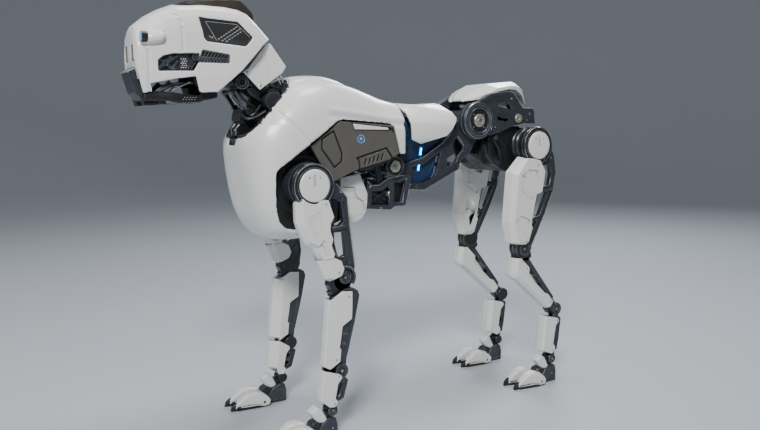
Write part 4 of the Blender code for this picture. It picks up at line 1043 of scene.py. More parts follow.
# Feet -------------------------------------------------------------------------------------------
def foot_look(group, ankle, out):
    y, z = ankle
    mid = out - 20
    heel = facets((mid - 19, [(y - 16, 40), (y - 4, 44), (y + 5, 40), (y + 8, 27), (y + 7, 0), (y - 35, 0), (y - 38, 20), (y - 30, 34)]),
                  (mid - 15, [(y - 14, 45), (y - 3, 48), (y + 5, 43), (y + 9, 28), (y + 9, 0), (y - 36, 0), (y - 40, 22), (y - 30, 38)]),
                  (mid + 15, [(y - 14, 45), (y - 3, 48), (y + 5, 43), (y + 9, 28), (y + 9, 0), (y - 36, 0), (y - 40, 22), (y - 30, 38)]),
                  (mid + 19, [(y - 16, 40), (y - 4, 44), (y + 5, 40), (y + 8, 27), (y + 7, 0), (y - 35, 0), (y - 38, 20), (y - 30, 34)]))
    pocket_side = [(y - 10, 34), (y + 1, 30), (y + 1, 8), (y - 26, 8), (y - 30, 20)]
    corner_place("foot_block", group, "foot", ALLOY, machined(heel, [
        ("DIFFERENCE", prism(pocket_side, mid + 17.4, mid + 25)), ("DIFFERENCE", prism(pocket_side, mid - 25, mid - 17.4)),
        ("UNION", prism([(y - 30, 40), (y - 30, 3), (y - 50, 4), (y - 57, 12), (y - 52, 21), (y - 42, 30)], mid - 3.4, mid + 3.4)),
    ], 1.2), ["foot_frame"])
    corner_add("foot_edges", group, "foot", STEEL, lambda: [tube([(mid + 15.6, y - 39, 22), (mid + 15.6, y - 14, 44.6), (mid + 15.6, y + 4, 41)], 0.9, 6), screw(mid + 17.5, y - 4, 22, 1, 2.4, 0.8)])
    corner_add("foot_axle", group, "foot", BLACK, lambda: [revolve((y - 43, 30), [(mid - 14, 0), (mid - 14, 11), (mid - 12, 12.5), (mid + 12, 12.5), (mid + 14, 11), (mid + 14, 0)], 32),
                                                           drum((y - 53, 12), 5, mid - 30, mid + 30, 20)])
    corner_add("foot_axle_rims", group, "foot", ALLOY, lambda: [hoop((y - 43, 30), 12.2, 0.9, mid - 8, 36, 6), hoop((y - 43, 30), 12.2, 0.9, mid + 8, 36, 6), hoop((y - 43, 30), 12.2, 0.9, mid, 36, 6)])
    # instep plate, two facets
    instep = facets((mid - 13, [(y - 50, 66), (y - 34, 41), (y - 24, 38), (y - 18, 44), (y - 30, 66), (y - 38, 72)]),
                    (mid - 8, [(y - 57, 64), (y - 38, 37), (y - 26, 34), (y - 14, 43), (y - 27, 69), (y - 41, 76)]),
                    (mid + 10, [(y - 57, 64), (y - 38, 37), (y - 26, 34), (y - 14, 43), (y - 27, 69), (y - 41, 76)]),
                    (mid + 15, [(y - 50, 66), (y - 34, 41), (y - 24, 38), (y - 18, 44), (y - 30, 66), (y - 38, 72)]))
    corner_place("instep_plate", group, "foot", WHITE, machined(instep, (), 1.0, limit=12))
    corner_add("instep_arm", group, "foot", BLACK, lambda: [bar((y - 34, 58), (y - 4, 46), 16, mid - 9, mid + 9), bar((y - 34, 48), (y - 20, 34), 14, mid - 11, mid + 11)])
    # toes: white upper, dark lower wedge, claw
    for word, a, b in (("outer", 4.4, 36.5), ("inner", -36.5, -4.4)):
        x0, x1 = sorted((mid + a, mid + b))
        c = (x0 + x1) / 2
        w = (x1 - x0) / 2
        low = [(y - 128, 6), (y - 128, 15), (y - 101, 34), (y - 78, 38), (y - 64, 34), (y - 50, 25), (y - 44, 17), (y - 46, 6), (y - 60, 4), (y - 76, 8)]
        full = [(y - 133, 5), (y - 131, 16), (y - 101, 38), (y - 78, 41.5), (y - 62, 37), (y - 47, 25), (y - 40.5, 15), (y - 43, 4), (y - 58, 1.5), (y - 76, 6)]
        low_w = [0.45, 0.45, 0.8, 1.0, 1.0, 1.0, 1.0, 1.0, 1.0, 1.0]
        top_w = [0.25, 0.28, 0.52, 0.58, 0.6, 0.66, 0.8, 0.8, 0.8, 0.8]

        def side_ring(line, factors, sign):
            return [point(c + sign * w * f, py, pz) for f, (py, pz) in zip(factors, line)]
        rings = [side_ring(low, low_w, -1), side_ring(full, top_w, -1), side_ring(full, top_w, 1), side_ring(low, low_w, 1)]
        body_mesh = skin(rings)
        corner_place(f"toe_{word}_shell", group, "toes", WHITE, machined(body_mesh, [
            ("DIFFERENCE", revolve((y - 58, 13), [(x1 - 3.4, 0), (x1 - 3.4, 3.4), (x1 + 4, 3.8), (x1 + 4, 0)], 20)),
            ("DIFFERENCE", revolve((y - 58, 13), [(x0 - 4, 0), (x0 - 4, 3.8), (x0 + 3.4, 3.4), (x0 + 3.4, 0)], 20)),
        ], 1.4, 3, 12), [f"toe_{word}"])
        wedge = skin([[point(c - w * f, py, pz) for f, (py, pz) in zip((0.34, 0.5, 0.86, 0.95, 0.95, 0.5), ((y - 131, 3), (y - 127, 11), (y - 96, 12), (y - 74, 9), (y - 60, 2), (y - 126, 0)))],
                      [point(c + w * f, py, pz) for f, (py, pz) in zip((0.34, 0.5, 0.86, 0.95, 0.95, 0.5), ((y - 131, 3), (y - 127, 11), (y - 96, 12), (y - 74, 9), (y - 60, 2), (y - 126, 0)))]])
        claw = skin([[point(c - w * 0.42, *p) for p in ((y - 120, 2), (y - 122, 18), (y - 114, 21), (y - 108, 4))],
                     [point(c - w * 0.26, *p) for p in ((y - 143, 0.2), (y - 139, 12), (y - 126, 20), (y - 116, 1))],
                     [point(c + w * 0.26, *p) for p in ((y - 143, 0.2), (y - 139, 12), (y - 126, 20), (y - 116, 1))],
                     [point(c + w * 0.42, *p) for p in ((y - 120, 2), (y - 122, 18), (y - 114, 21), (y - 108, 4))]])
        corner_place(f"toe_{word}_pad", group, "toes", RUBBER, machined(wedge, (), 0.8))
        corner_place(f"toe_{word}_claw", group, "toes", BLACK, machined(claw, (), 1.4, 3, 12))
        corner_add("toe_pins", group, "toes", BLACK, lambda a=x0, b=x1: [drum((y - 58, 13), 3.3, a + 3.0, b - 3.0, 16)])


foot_look("front", FORE_ANKLE, O)
foot_look("rear", HIND_ANKLE, O2)
# Head -------------------------------------------------------------------------------------------
HEAD_STATIONS = [(-678, 40, 880), (-672, 52, 899), (-645, 57, 921), (-620, 60, 935), (-590, 62, 947), (-537, 64, 952),
                 (-485, 65, 951), (-455, 65, 947), (-437, 65, 940), (-417, 65, 922), (-378, 64, 882)]
HEAD_SIDE = [(-675, 815), (-677, 835), (-677, 856), (-675, 893), (-672, 960), (-360, 960), (-383, 886), (-407, 869), (-457, 814), (-511, 768), (-546, 766), (-551, 768),
             (-554, 780), (-558, 799), (-600, 793), (-650, 783), (-648, 776), (-647, 766), (-664, 764), (-670, 788)]


def head_rings(grow, between=3, skip=0):
    rows = [[y, half, top] for y, half, top in HEAD_STATIONS]
    rings = []
    for k in range((len(rows) - 1) * between + 1):
        y, half, top = head_row(rows, k / between)
        w, t = half + grow, top + grow
        profile = [(w - 7, 730), (w - 3, 760), (w, 796), (w, t - 60), (w - 1.5, t - 44), (w - 5, t - 29), (w - 11, t - 16), (w - 21, t - 7), (w - 36, t - 2), (w * 0.2, t)]
        rings.append([point(x, y, z) for x, z in profile] + [point(-x, y, z) for x, z in profile[::-1]])
    return rings


def head_row(rows, t):
    i = min(int(t), len(rows) - 2)
    f = t - i
    return [p + (q - p) * f for p, q in zip(rows[i], rows[i + 1])]


RECESS = [(-634, 808), (-634, 829), (-630, 834), (-622, 839), (-605, 843.5), (-549, 846), (-551, 829), (-562, 810)]
GRILLE = [(-543, 853.5), (-484, 845.5), (-485, 827), (-553, 827), (-549, 839)]
WINDOW = [(-546, 917.5), (-533, 916), (-466, 912.5), (-433, 884), (-436, 877), (-448, 864.5), (-532, 871), (-538, 877)]


def head_relief(x, y, z, n):
    d = Vector((0, 0, 0))
    ax = abs(x)
    if ax > 48 and z > 740:
        # teardrop fairing behind the lens
        far, side, t = segment_distance(y, z, (-655, 874), (-630, 876))
        size = 14.5 - 3.0 * ease(y, -650, -618)
        if far < size:
            d.x += math.copysign(13.0 * math.sqrt(max(0.0, 1 - (far / size) ** 2)), x)
        # joint line round the muzzle
        for a, b in (((-606, 925), (-590, 919)), ((-590, 919), (-583.5, 904)), ((-583.5, 904), (-583, 850))):
            far, side, t = segment_distance(y, z, a, b)
            if far < 6:
                d -= n * (2.2 * math.exp(-(far / 2.0) ** 2))
                break
    if ax < 48 and z > 905 and -600 < y < -395:
        d -= n * (1.5 * (1 - ease(ax, 30, 40)) * ease(y, -596, -570))
    # cheek steps in below the muzzle corner
    if y < -640 and z < 850 and ax > 20:
        d -= n * (2.0 * math.exp(-((y + 652) / 3.0) ** 2))
    return d


outer_head = head_rings(0)
hollow_rings = head_rings(-4.6)[2:]
hollow_rings[0] = [p + Vector((0, 0.004, 0)) for p in hollow_rings[0]]
hollow_rings.append([p + Vector((0, 0.06, -0.05)) for p in hollow_rings[-1]])
steps = [("INTERSECT", prism(HEAD_SIDE, -80, 80)), ("DIFFERENCE", skin(hollow_rings)), ("DIFFERENCE", prism([(-700, 730), (-652, 730), (-652, 815), (-700, 815)], -33, 33))]
for s in (1, -1):
    steps += [("DIFFERENCE", prism(RECESS, s * 52, s * 80)), ("DIFFERENCE", prism(GRILLE, s * 57, s * 80)), ("DIFFERENCE", prism(WINDOW, s * 50, s * 80)),
              ("DIFFERENCE", prism(inset(WINDOW, -3.0), s * 63.4, s * 80)), ("DIFFERENCE", prism([(-690, 828), (-690, 860), (-669, 860), (-669, 828)], s * 13, s * 33))]
head = solid(skin(outer_head), steps, voxel=1.5, relax=2)
place("head_shell_moulded", "head", shaped(head, head_relief), WHITE, ["head_shell"])
for s, word in ((1, "left"), (-1, "right")):
    place(f"head_window_{word}_pane", "head", solid(prism(inset(WINDOW, 1.2), s * 57.5, s * 62.2), first=1.0), GLASS, [f"head_window_{word}"])
    add("window_gasket", "head", BLACK, rim(inset(WINDOW, -1.6), 3.4, s * 57, s * 63.2))
    add("window_divider", "head", PRINT_AND_HIGHLIGHT, bar((-535, 911), (-512, 873.5), 0.9, s * 62.0, s * 62.7), bar((-535, 911), (-467, 908.5), 0.8, s * 62.0, s * 62.7), bar((-467, 908.5), (-439, 884), 0.8, s * 62.0, s * 62.7))
    for (ya, za), (yb, zb), n in (((-507, 877), (-468, 903), 8), ((-499, 874), (-461, 899), 8), ((-490, 873), (-459, 893), 6)):
        for k in range(n):
            cy, cz = ya + (yb - ya) * k / (n - 1), za + (zb - za) * k / (n - 1)
            add("window_dashes", "head", PRINT_AND_HIGHLIGHT, bar((cy - 2.0, cz - 0.9), (cy + 2.0, cz + 0.9), 1.9, s * 62.0, s * 62.7))
    add("window_marks", "head", PRINT_AND_HIGHLIGHT, bar((-528, 882), (-521, 878), 1.5, s * 62.0, s * 62.7), bar((-521, 878), (-519, 881), 1.2, s * 62.0, s * 62.7), bar((-445, 869), (-438, 877), 1.2, s * 62.0, s * 62.7))
    # lens and its ring at the front of the fairing
    add("eye_bezel", "head", BLACK, skin([[point(s * (60 + 8 * math.cos(2 * math.pi * k / 28)), yy, 874 + 11 * math.sin(2 * math.pi * k / 28)) for k in range(28)] for yy in (-667, -655)]))
    add("eye_lens", "head", RING_GLOW, skin([[point(s * (60 + 6.4 * math.cos(2 * math.pi * k / 24)), yy, 874 + 9 * math.sin(2 * math.pi * k / 24)) for k in range(24)] for yy in (-668.6, -664)]))
    # slot beside the nose
    add("nose_grilles", "head", BRASS, *[prism([(-675.5, 830 + 3.0 * k), (-675.5, 832.2 + 3.0 * k), (-667, 832.2 + 3.0 * k), (-667, 830 + 3.0 * k)], s * 14, s * 32) for k in range(10)])
    add("nose_slots", "head", PRINT_AND_HIGHLIGHT, prism([(-672.5, 826), (-672.5, 862), (-664, 862), (-664, 826)], s * 12, s * 34))
    # side bay: dark machinery behind the recess
    add("bay_floor", "head", ALLOY, prism([(-640, 804), (-640, 846), (-546, 850), (-548, 804)], s * 46, s * 50))
    add("bay_parts", "head", ALLOY, revolve((-556, 838), [(s * 49, 8), (s * 56, 8), (s * 57, 6.5), (s * 57, 2)], 24),
        bar((-633, 812), (-606, 838), 5, s * 49, s * 55), bar((-633, 836), (-604, 812), 5, s * 49, s * 54), bar((-604, 812), (-594, 830), 4, s * 49, s * 55), bar((-612, 826), (-590, 842), 4, s * 49, s * 56),
        drum((-619, 824), 6.5, s * 49, s * 56.5, 22, 1.0), drum((-600, 816), 4.5, s * 49, s * 55.5, 18, 0.8), prism([(-588, 812), (-588, 840), (-570, 842), (-566, 826), (-570, 812)], s * 49, s * 53.5))
    add("bay_bright", "head", STEEL, bar((-566, 816), (-556, 828), 2.4, s * 53, s * 57), hoop((-568, 816), 3.2, 1.0, s * 56, 18, 6), hoop((-619, 824), 5.4, 0.7, s * 56.8, 24, 6),
        hoop((-556, 838), 6.8, 0.6, s * 57, 24, 6))
    add("bay_beads", "head", BRASS, *[revolve((-585 + 4.2 * (k % 3) + 2.1 * (k // 3 % 2), 816 + 4.4 * (k // 3)), [(s * 53, 1.5), (s * 54.4, 1.5), (s * 54.8, 0.8)], 8) for k in range(15)])
    # lattice of the rear grille
    add("grille_plate", "head", BLACK, prism(inset(GRILLE, 0.6), s * 56, s * 58.5))
    cells = []
    for k in range(9):
        y0 = -547 + 7.0 * k
        base, peak = 829.5, 850.5 - 0.9 * k
        mid = (base + peak) / 2
        cells += [bar((y0, base), (y0 + 5.5, mid - 1), 1.5, s * 58, s * 61.2), bar((y0 + 5.5, mid - 1), (y0 + 7, base), 1.5, s * 58, s * 61.2),
                  bar((y0, mid + 2), (y0 + 5.5, peak), 1.5, s * 58, s * 61.2) if k < 8 else bar((y0, mid + 2), (y0 + 3, peak - 2), 1.5, s * 58, s * 61.2)]
    cells += [bar((-550, 839.5), (-485, 836.5), 1.8, s * 58, s * 61.4)]
    add("grille_lattice", "head", ALLOY, rim(inset(GRILLE, 0.4), 1.8, s * 58, s * 62.2), *cells)
    # neck pivot disc seen behind the jaw corner
    add("pivot_disc", "head", BLACK, revolve(HEAD_PIVOT, [(s * 33, 15), (s * 38, 15), (s * 40, 13), (s * 40, 9), (s * 38, 8), (s * 38, 0.5)], 36))
    add("pivot_disc_rims", "head", ALLOY, hoop(HEAD_PIVOT, 13.8, 0.9, s * 39.4, 36, 6), hoop(HEAD_PIVOT, 8.4, 0.7, s * 39.6, 28, 6))

# crest
CREST_ROWS = [(-577, 24, 946.5, 951), (-560, 30, 948, 957), (-530, 33, 947, 962), (-488, 34, 946, 966.3), (-462, 34, 944, 968.4), (-446, 34, 941, 968), (-430, 30, 934, 958), (-414, 26, 924, 943)]
crest_mesh = skin([[point(x, y, z) for x, z in ((-h, low), (-h + 3, top - 5), (-h + 12, top - 1.2), (0, top), (h - 12, top - 1.2), (h - 3, top - 5), (h, low))] for y, h, low, top in CREST_ROWS])
place("head_crest_cap", "head", machined(crest_mesh, (), 1.2, 2, 16), CREST_LOOK, ["head_crest"])

# jaw
jaw_plate = solid(prism([(-663, 748), (-640, 749), (-618, 748), (-592, 742.5), (-566, 743), (-548, 746), (-508, 756), (-507.5, 767), (-552, 760), (-600, 766), (-640, 768), (-660, 766)], -47, 47), [
    ("DIFFERENCE", prism([(-655, 790), (-655, 757), (-600, 752), (-550, 752), (-530, 790)], -40, 40))], first=1.5)
place("jaw_tray", "jaw", jaw_plate, BLACK, ["jaw"])
place("jaw_chin", "jaw", machined(prism([(-688, 807), (-671, 815), (-662, 815), (-655, 800), (-641, 768), (-642, 752), (-661, 748), (-676, 765)], -30, 30), [
    ("DIFFERENCE", prism([(-668, 800), (-660, 800), (-650, 772), (-668, 764)], -22, 22))], 1.8, 3), ALLOY)
# painted highlight: a pale strip on the top face of the dark chin block, where light catches it
add("chin_edge", "jaw", PRINT_AND_HIGHLIGHT, prism([(-689, 807.5), (-671, 816.4), (-667, 812), (-685.5, 802.5)], -29.6, 29.6))
for s in (1, -1):
    add("jaw_arms", "jaw", BLACK, prism([(-545, 752), (-538, 790), (-522, 790), (-510, 762), (-512, 756)], s * 42, s * 48))
    add("jaw_hinge", "jaw", ALLOY, drum(JAW_PIVOT, 8.5, s * 42, s * 49.4, 26, 1.0))
    add("jaw_struts", "jaw", ALLOY, tube([(s * 43, -640, 764), (s * 43, -600, 784), (s * 43, -560, 786)], 2.2, 10), bar((-628, 766), (-606, 788), 9, s * 38, s * 42), bar((-612, 764), (-590, 788), 3, s * 38, s * 44))
    add("jaw_rods", "jaw", STEEL, tube([(s * 46, -604, 771), (s * 46, -590, 777), (s * 46, -566, 788)], [2.6, 1.7, 1.7], 10), tube([(s * 46, -606, 770), (s * 46, -600, 773)], 3.4, 10))
    add("jaw_lower_blocks", "jaw", BLACK, prism([(-662, 748), (-640, 749), (-640, 741), (-660, 739)], s * 18, s * 40), prism([(-634, 748), (-618, 748), (-616, 742), (-633, 741)], s * 14, s * 44))
    for k in range(10):
        add("jaw_dots", "jaw", PRINT_AND_HIGHLIGHT, revolve((-582 + 6 * (k % 5) + 3 * (k // 5), 752 + 4.2 * (k // 5)), [(s * 46.6, 1.0), (s * 47.4, 1.0), (s * 47.4, 0.4)], 8))
add("jaw_lip", "jaw", ALLOY, tube([(-46.6, -508, 757), (-46.6, -548, 746.6), (-46.6, -592, 743.4), (-46.6, -618, 748.6)], 0.9, 6), tube([(46.6, -508, 757), (46.6, -548, 746.6), (46.6, -592, 743.4), (46.6, -618, 748.6)], 0.9, 6))

# Neck -------------------------------------------------------------------------------------------
PLATE = [(-436, 821), (-396, 871), (-384, 875), (-347, 826), (-356, 812), (-410, 774), (-448, 812)]
plate = machined(prism(PLATE, -45, 45), [
    ("DIFFERENCE", prism([(-470, 800), (-430, 812), (-388, 862), (-352, 822), (-354, 800), (-420, 740)], -39, 39)),
    *[("DIFFERENCE", taper(inset([(-420, 829), (-394, 856), (-388, 796), (-413, 806)], 1.6), s * 43.6, inset([(-420, 829), (-394, 856), (-388, 796), (-413, 806)], -1.0), s * 46.6)) for s in (1, -1)],
    *[("DIFFERENCE", groove([(-426, 822), (-402, 848)], 1.8, s * 43.8, s * 48)) for s in (1, -1)],
], 1.8, 3, 20)
place("neck_plate_moulded", "neck", plate, WHITE, ["neck_plate"])
for s in (1, -1):
    add("plate_screws", "neck", STEEL, screw(s * 44.8, -440, 812, s, 2.8, 0.8), screw(s * 44.8, -410, 784, s, 2.8, 0.8))
    add("push_rods", "neck", ALLOY, tube([(s * 24, -473, 771), (s * 24, -447, 741)], 2.4, 10), tube([(s * 29, -461, 772), (s * 29, -438, 735)], 2.4, 10), drum((-466, 770), 6, s * 20, s * 30, 20, 0.8), drum((-443, 737), 6.5, s * 20, s * 31, 20, 0.8))
    add("hoses", "neck", BLACK, tube(smooth_path([(s * 20, -440, 800), (s * 31, -436, 782), (s * 33, -424, 764), (s * 30, -404, 752), (s * 22, -392, 742)]), 3.6, 10),
        tube(smooth_path([(s * 12, -452, 782), (s * 22, -448, 764), (s * 24, -434, 748), (s * 18, -414, 734)]), 3.0, 10),
        tube(smooth_path([(s * 30, -392, 790), (s * 37, -376, 784), (s * 38, -362, 776), (s * 30, -352, 764)]), 3.2, 10))
    add("thin_lines", "neck", STEEL, tube(smooth_path([(s * 33, -380, 800), (s * 40, -366, 800), (s * 40, -358, 786), (s * 36, -350, 776)]), 1.3, 8), tube(smooth_path([(s * 30, -372, 804), (s * 37, -360, 806), (s * 38, -352, 792)]), 1.2, 8))
    add("base_hub", "neck", ALLOY, revolve(NECK_BASE, [(s * 22, 18), (s * 38, 18), (s * 40, 16.5), (s * 38.5, 15), (s * 38.5, 12.5), (s * 41, 11.5), (s * 41, 9), (s * 39, 8), (s * 39, 5.5), (s * 41.5, 5), (s * 41.5, 1)], 40))
    add("base_hub_rims", "neck", STEEL, hoop(NECK_BASE, 16.8, 0.8, s * 39.8, 40, 6), hoop(NECK_BASE, 10.4, 0.7, s * 41.2, 32, 6))
add("link_parts", "neck", BLACK, bar(NECK_BASE, HEAD_PIVOT, 32, -19, 19), drum((-416, 772), 13, -30, 30, 28, 2.0), drum((-428, 790), 9, -34, 34, 24, 1.5))
add("front_parts", "chest", BLACK, prism([(-446, 700), (-440, 736), (-420, 744), (-404, 716), (-410, 690)], -18, 18), prism([(-441, 735), (-449, 726), (-452, 708), (-440, 700)], -24, 24),
    drum((-432, 728), 9, -36, 36, 24, 1.5), tube(smooth_path([(26, -446, 720), (38, -438, 712), (44, -420, 716), (48, -400, 728)]), 4, 10), tube(smooth_path([(-26, -446, 720), (-38, -438, 712), (-44, -420, 716), (-48, -400, 728)]), 4, 10),
    prism([(-457, 676), (-452, 696), (-428, 704), (-408, 676), (-420, 660)], -17, 17))
add("front_bright", "chest", STEEL, tube([(14, -455, 676), (14, -457, 690), (14, -448, 700)], 2.2, 8), tube([(-14, -455, 676), (-14, -457, 690), (-14, -448, 700)], 2.2, 8), drum((-450, 686), 5, -12, 12, 18, 0.8),
    tube(smooth_path([(30, -436, 716), (42, -424, 724), (40, -408, 742)]), 2.0, 8), drum((-430, 712), 3.2, 22, 40, 14), drum((-430, 712), 3.2, -40, -22, 14))

# Waist ------------------------------------------------------------------------------------------
W_TRUSS = [(-88, 614), (-44, 604), (-33, 606), (7, 617), (66, 652), (92, 676), (104, 700), (134, 724), (158, 738), (180, 730), (192, 706),
           (182, 668), (166, 648), (150, 622), (124, 606), (118, 594), (116, 584), (10, 536), (-36, 539), (-46, 560), (-88, 584)]
W_FRONT = [(-26, 594), (-24, 596), (7, 601), (60, 630), (48, 577), (40, 566), (7, 554), (-28, 556)]
W_REAR = [(112, 668), (131, 645), (131, 633), (116, 619), (109, 604), (99, 598), (79, 590), (79, 612), (101, 624), (98, 640), (100, 654)]
left_truss = machined(prism(W_TRUSS, 55, 66), [
    ("DIFFERENCE", prism(W_FRONT, 50, 70)), ("DIFFERENCE", prism(W_REAR, 50, 70)),
    ("DIFFERENCE", prism([(-30, 550), (8, 548), (42, 560), (104, 588), (104, 584), (12, 542), (-32, 545)], 64.6, 70)),
    ("DIFFERENCE", prism([(-34, 601), (6, 612), (62, 645), (78, 660), (80, 656), (64, 640), (8, 606.5), (-32, 598)], 64.6, 70)),
    *[("DIFFERENCE", revolve((62.5 + 4.4 * (k % 2) + 0.7 * k, 588 + 4.6 * k), [(64.2, 1.4), (68, 1.5)], 8)) for k in range(12)],
], 1.3, 2)
place("truss_side_left", "waist", left_truss, ALLOY, ["waist_truss"])
place("truss_side_right", "waist", mirrored(left_truss), ALLOY)
for s in (1, -1):
    add("truss_edges", "waist", STEEL, tube([(s * 65.6, *p) for p in ((-33, 606.4), (7, 617.2), (66, 651.6), (90, 674))], 0.8, 6), tube([(s * 65.6, *p) for p in ((-35, 539.6), (10, 536.6), (115, 584))], 0.8, 6),
        tube([(s * 65.6, *p) for p in ((48, 575), (60, 629))], 0.7, 6), tube([(s * 65.6, *p) for p in ((79, 590), (99, 598), (109, 604), (116, 619), (131, 633), (131, 645), (112, 668))], 0.7, 6))
    add("blue_edge", "waist", BAND, tube([(s * 65, *p) for p in ((42, 568), (49, 578), (61, 630), (34, 616), (7, 602), (-24, 596))], 1.1, 6))
    add("pivot_drum", "waist", BLACK, revolve(SPINE_FRONT, [(s * 66, 24), (s * 88, 24), (s * 90, 22.5), (s * 90, 18), (s * 88, 17), (s * 88, 2)], 40))
    add("pivot_rims", "waist", ALLOY, hoop(SPINE_FRONT, 23.4, 0.9, s * 89.5, 44, 6), hoop(SPINE_FRONT, 23.8, 0.7, s * 78, 44, 6))
    add("pivot_disc", "waist", BRASS, revolve(SPINE_FRONT, [(s * 87, 14), (s * 92.5, 14), (s * 93.5, 12.6), (s * 93.5, 6.5), (s * 91.5, 6), (s * 91.5, 0.5)], 36))
    add("pivot_bolt", "waist", STEEL, revolve(SPINE_FRONT, [(s * 91, 4.6), (s * 94, 4.6), (s * 94, 2)], 6))
    # status lights with a soft glow behind
    for y, z in ((5, 631), (-1, 593)):
        add("light_bars", "waist", GLOW, bar((y - 1.5, z - 8.5), (y + 1.5, z + 8.5), 3.6, s * 56, s * 58.2))
        add("light_halos", "waist", HALO, bar((y - 2.2, z - 12), (y + 2.2, z + 12), 9.5, s * 54, s * 56.4))
    add("core_side", "waist", CORE, prism([(-60, 645), (-40, 690), (70, 690), (74, 664), (58, 636), (44, 576), (36, 564), (6, 550), (-28, 552), (-40, 566)], s * 48, s * 54.2))
    add("core_lines", "waist", BAND, tube([(s * 54.4, *p) for p in ((-36, 575), (-8, 566), (20, 570), (40, 590), (52, 624))], 0.9, 6), screw(s * 54.4, 30, 608, s, 2.2, 0.8), screw(s * 54.4, -22, 560, s, 2.2, 0.8))
    add("lower_beam_boss", "waist", ALLOY, drum((-14, 547), 4.5, s * 55, s * 68.5, 18, 0.8), drum((112, 592), 5, s * 50, s * 68.5, 18, 0.8), drum((140, 642), 4.5, s * 50, s * 68.6, 18, 0.8), drum((88, 600), 3.5, s * 50, s * 68, 16))
add("truss_bars", "waist", ALLOY, drum((88, 664), 5, -60, 60, 16), drum((112, 592), 6, -60, 60, 16), drum((-36, 560), 5, -60, 60, 16))
# blue band between the chest and waist covers
add("blue_band", "waist", BAND, *[tube([(s * x, y, z) for x, y, z in ((90, -66, 652), (94, -66, 676), (92, -67, 700), (80, -68, 722), (48, -70, 738))], 3.2, 10) for s in (1, -1)])
shell_w = machined(lengthwise([(-90, 640), (-97, 668), (-97, 700), (-82, 727), (-45, 746), (-20, 752), (20, 752), (45, 746), (82, 727), (97, 700), (97, 668), (90, 640)], -80, 120), [
    ("INTERSECT", prism([(-60, 749), (-50, 708), (-46, 663), (-42, 660), (-18, 651), (55, 669), (71, 683), (90, 713), (66, 750), (16, 745), (-15, 746)], -120, 120)),
    ("DIFFERENCE", lengthwise([(-82, 620), (-91, 668), (-91, 697), (-78, 720), (-42, 739), (-20, 741), (20, 741), (42, 739), (78, 720), (91, 697), (91, 668), (82, 620)], -100, 140)),
], 0.0)
place("waist_shell_moulded", "waist", shell_w, WHITE, ["waist_shell"])

# Pelvis -----------------------------------------------------------------------------------------
A_PLATE = [(158, 752), (197, 773), (230, 778), (258, 781), (275, 777), (291, 758), (307, 738), (340, 738), (346, 728), (346, 718), (349, 697), (311, 699), (290, 694), (264, 690), (221, 674), (196, 668)]
arm_plate = machined(prism(A_PLATE, 72, 90), [
    ("DIFFERENCE", prism([(223, 749), (247, 750), (262, 744), (274, 731), (247, 737), (221, 743)], 66, 96)),
    ("DIFFERENCE", prism([(219, 718), (228, 716), (260, 710), (258, 704), (248, 702), (222, 707)], 66, 96)),
    ("DIFFERENCE", prism([(170, 748), (200, 764), (256, 773), (270, 770), (296, 738), (282, 738), (262, 752), (222, 757), (200, 750)], 88.0, 96)),
    ("DIFFERENCE", prism([(216, 724), (262, 718), (272, 712), (268, 708), (264, 714), (218, 721)], 88.4, 96)),
    ("DIFFERENCE", prism([(280, 734), (304, 726), (304, 732), (288, 748)], 88.4, 96)),
], 1.6, 2)
place("arm_plate_left", "pelvis", arm_plate, ALLOY, ["pelvis_frame"])
place("arm_plate_right", "pelvis", mirrored(arm_plate), ALLOY)
bowl = machined(prism([(202, 664), (202, 619), (222, 594), (258, 574), (276, 572), (300, 577), (330, 590), (354, 610), (366, 640), (356, 668), (300, 692), (240, 692)], -76, 76), [
    *[("DIFFERENCE", prism([(216, 650), (216, 622), (232, 604), (258, 592), (262, 640), (240, 660)], s * 70, s * 90)) for s in (1, -1)],
    *[("DIFFERENCE", prism([(206, 700), (196, 610), (222, 586), (232, 620), (228, 680)], s * 30, s * 62)) for s in (1, -1)],
], 2.0, 3)
place("pelvis_bowl", "pelvis", bowl, BLACK)
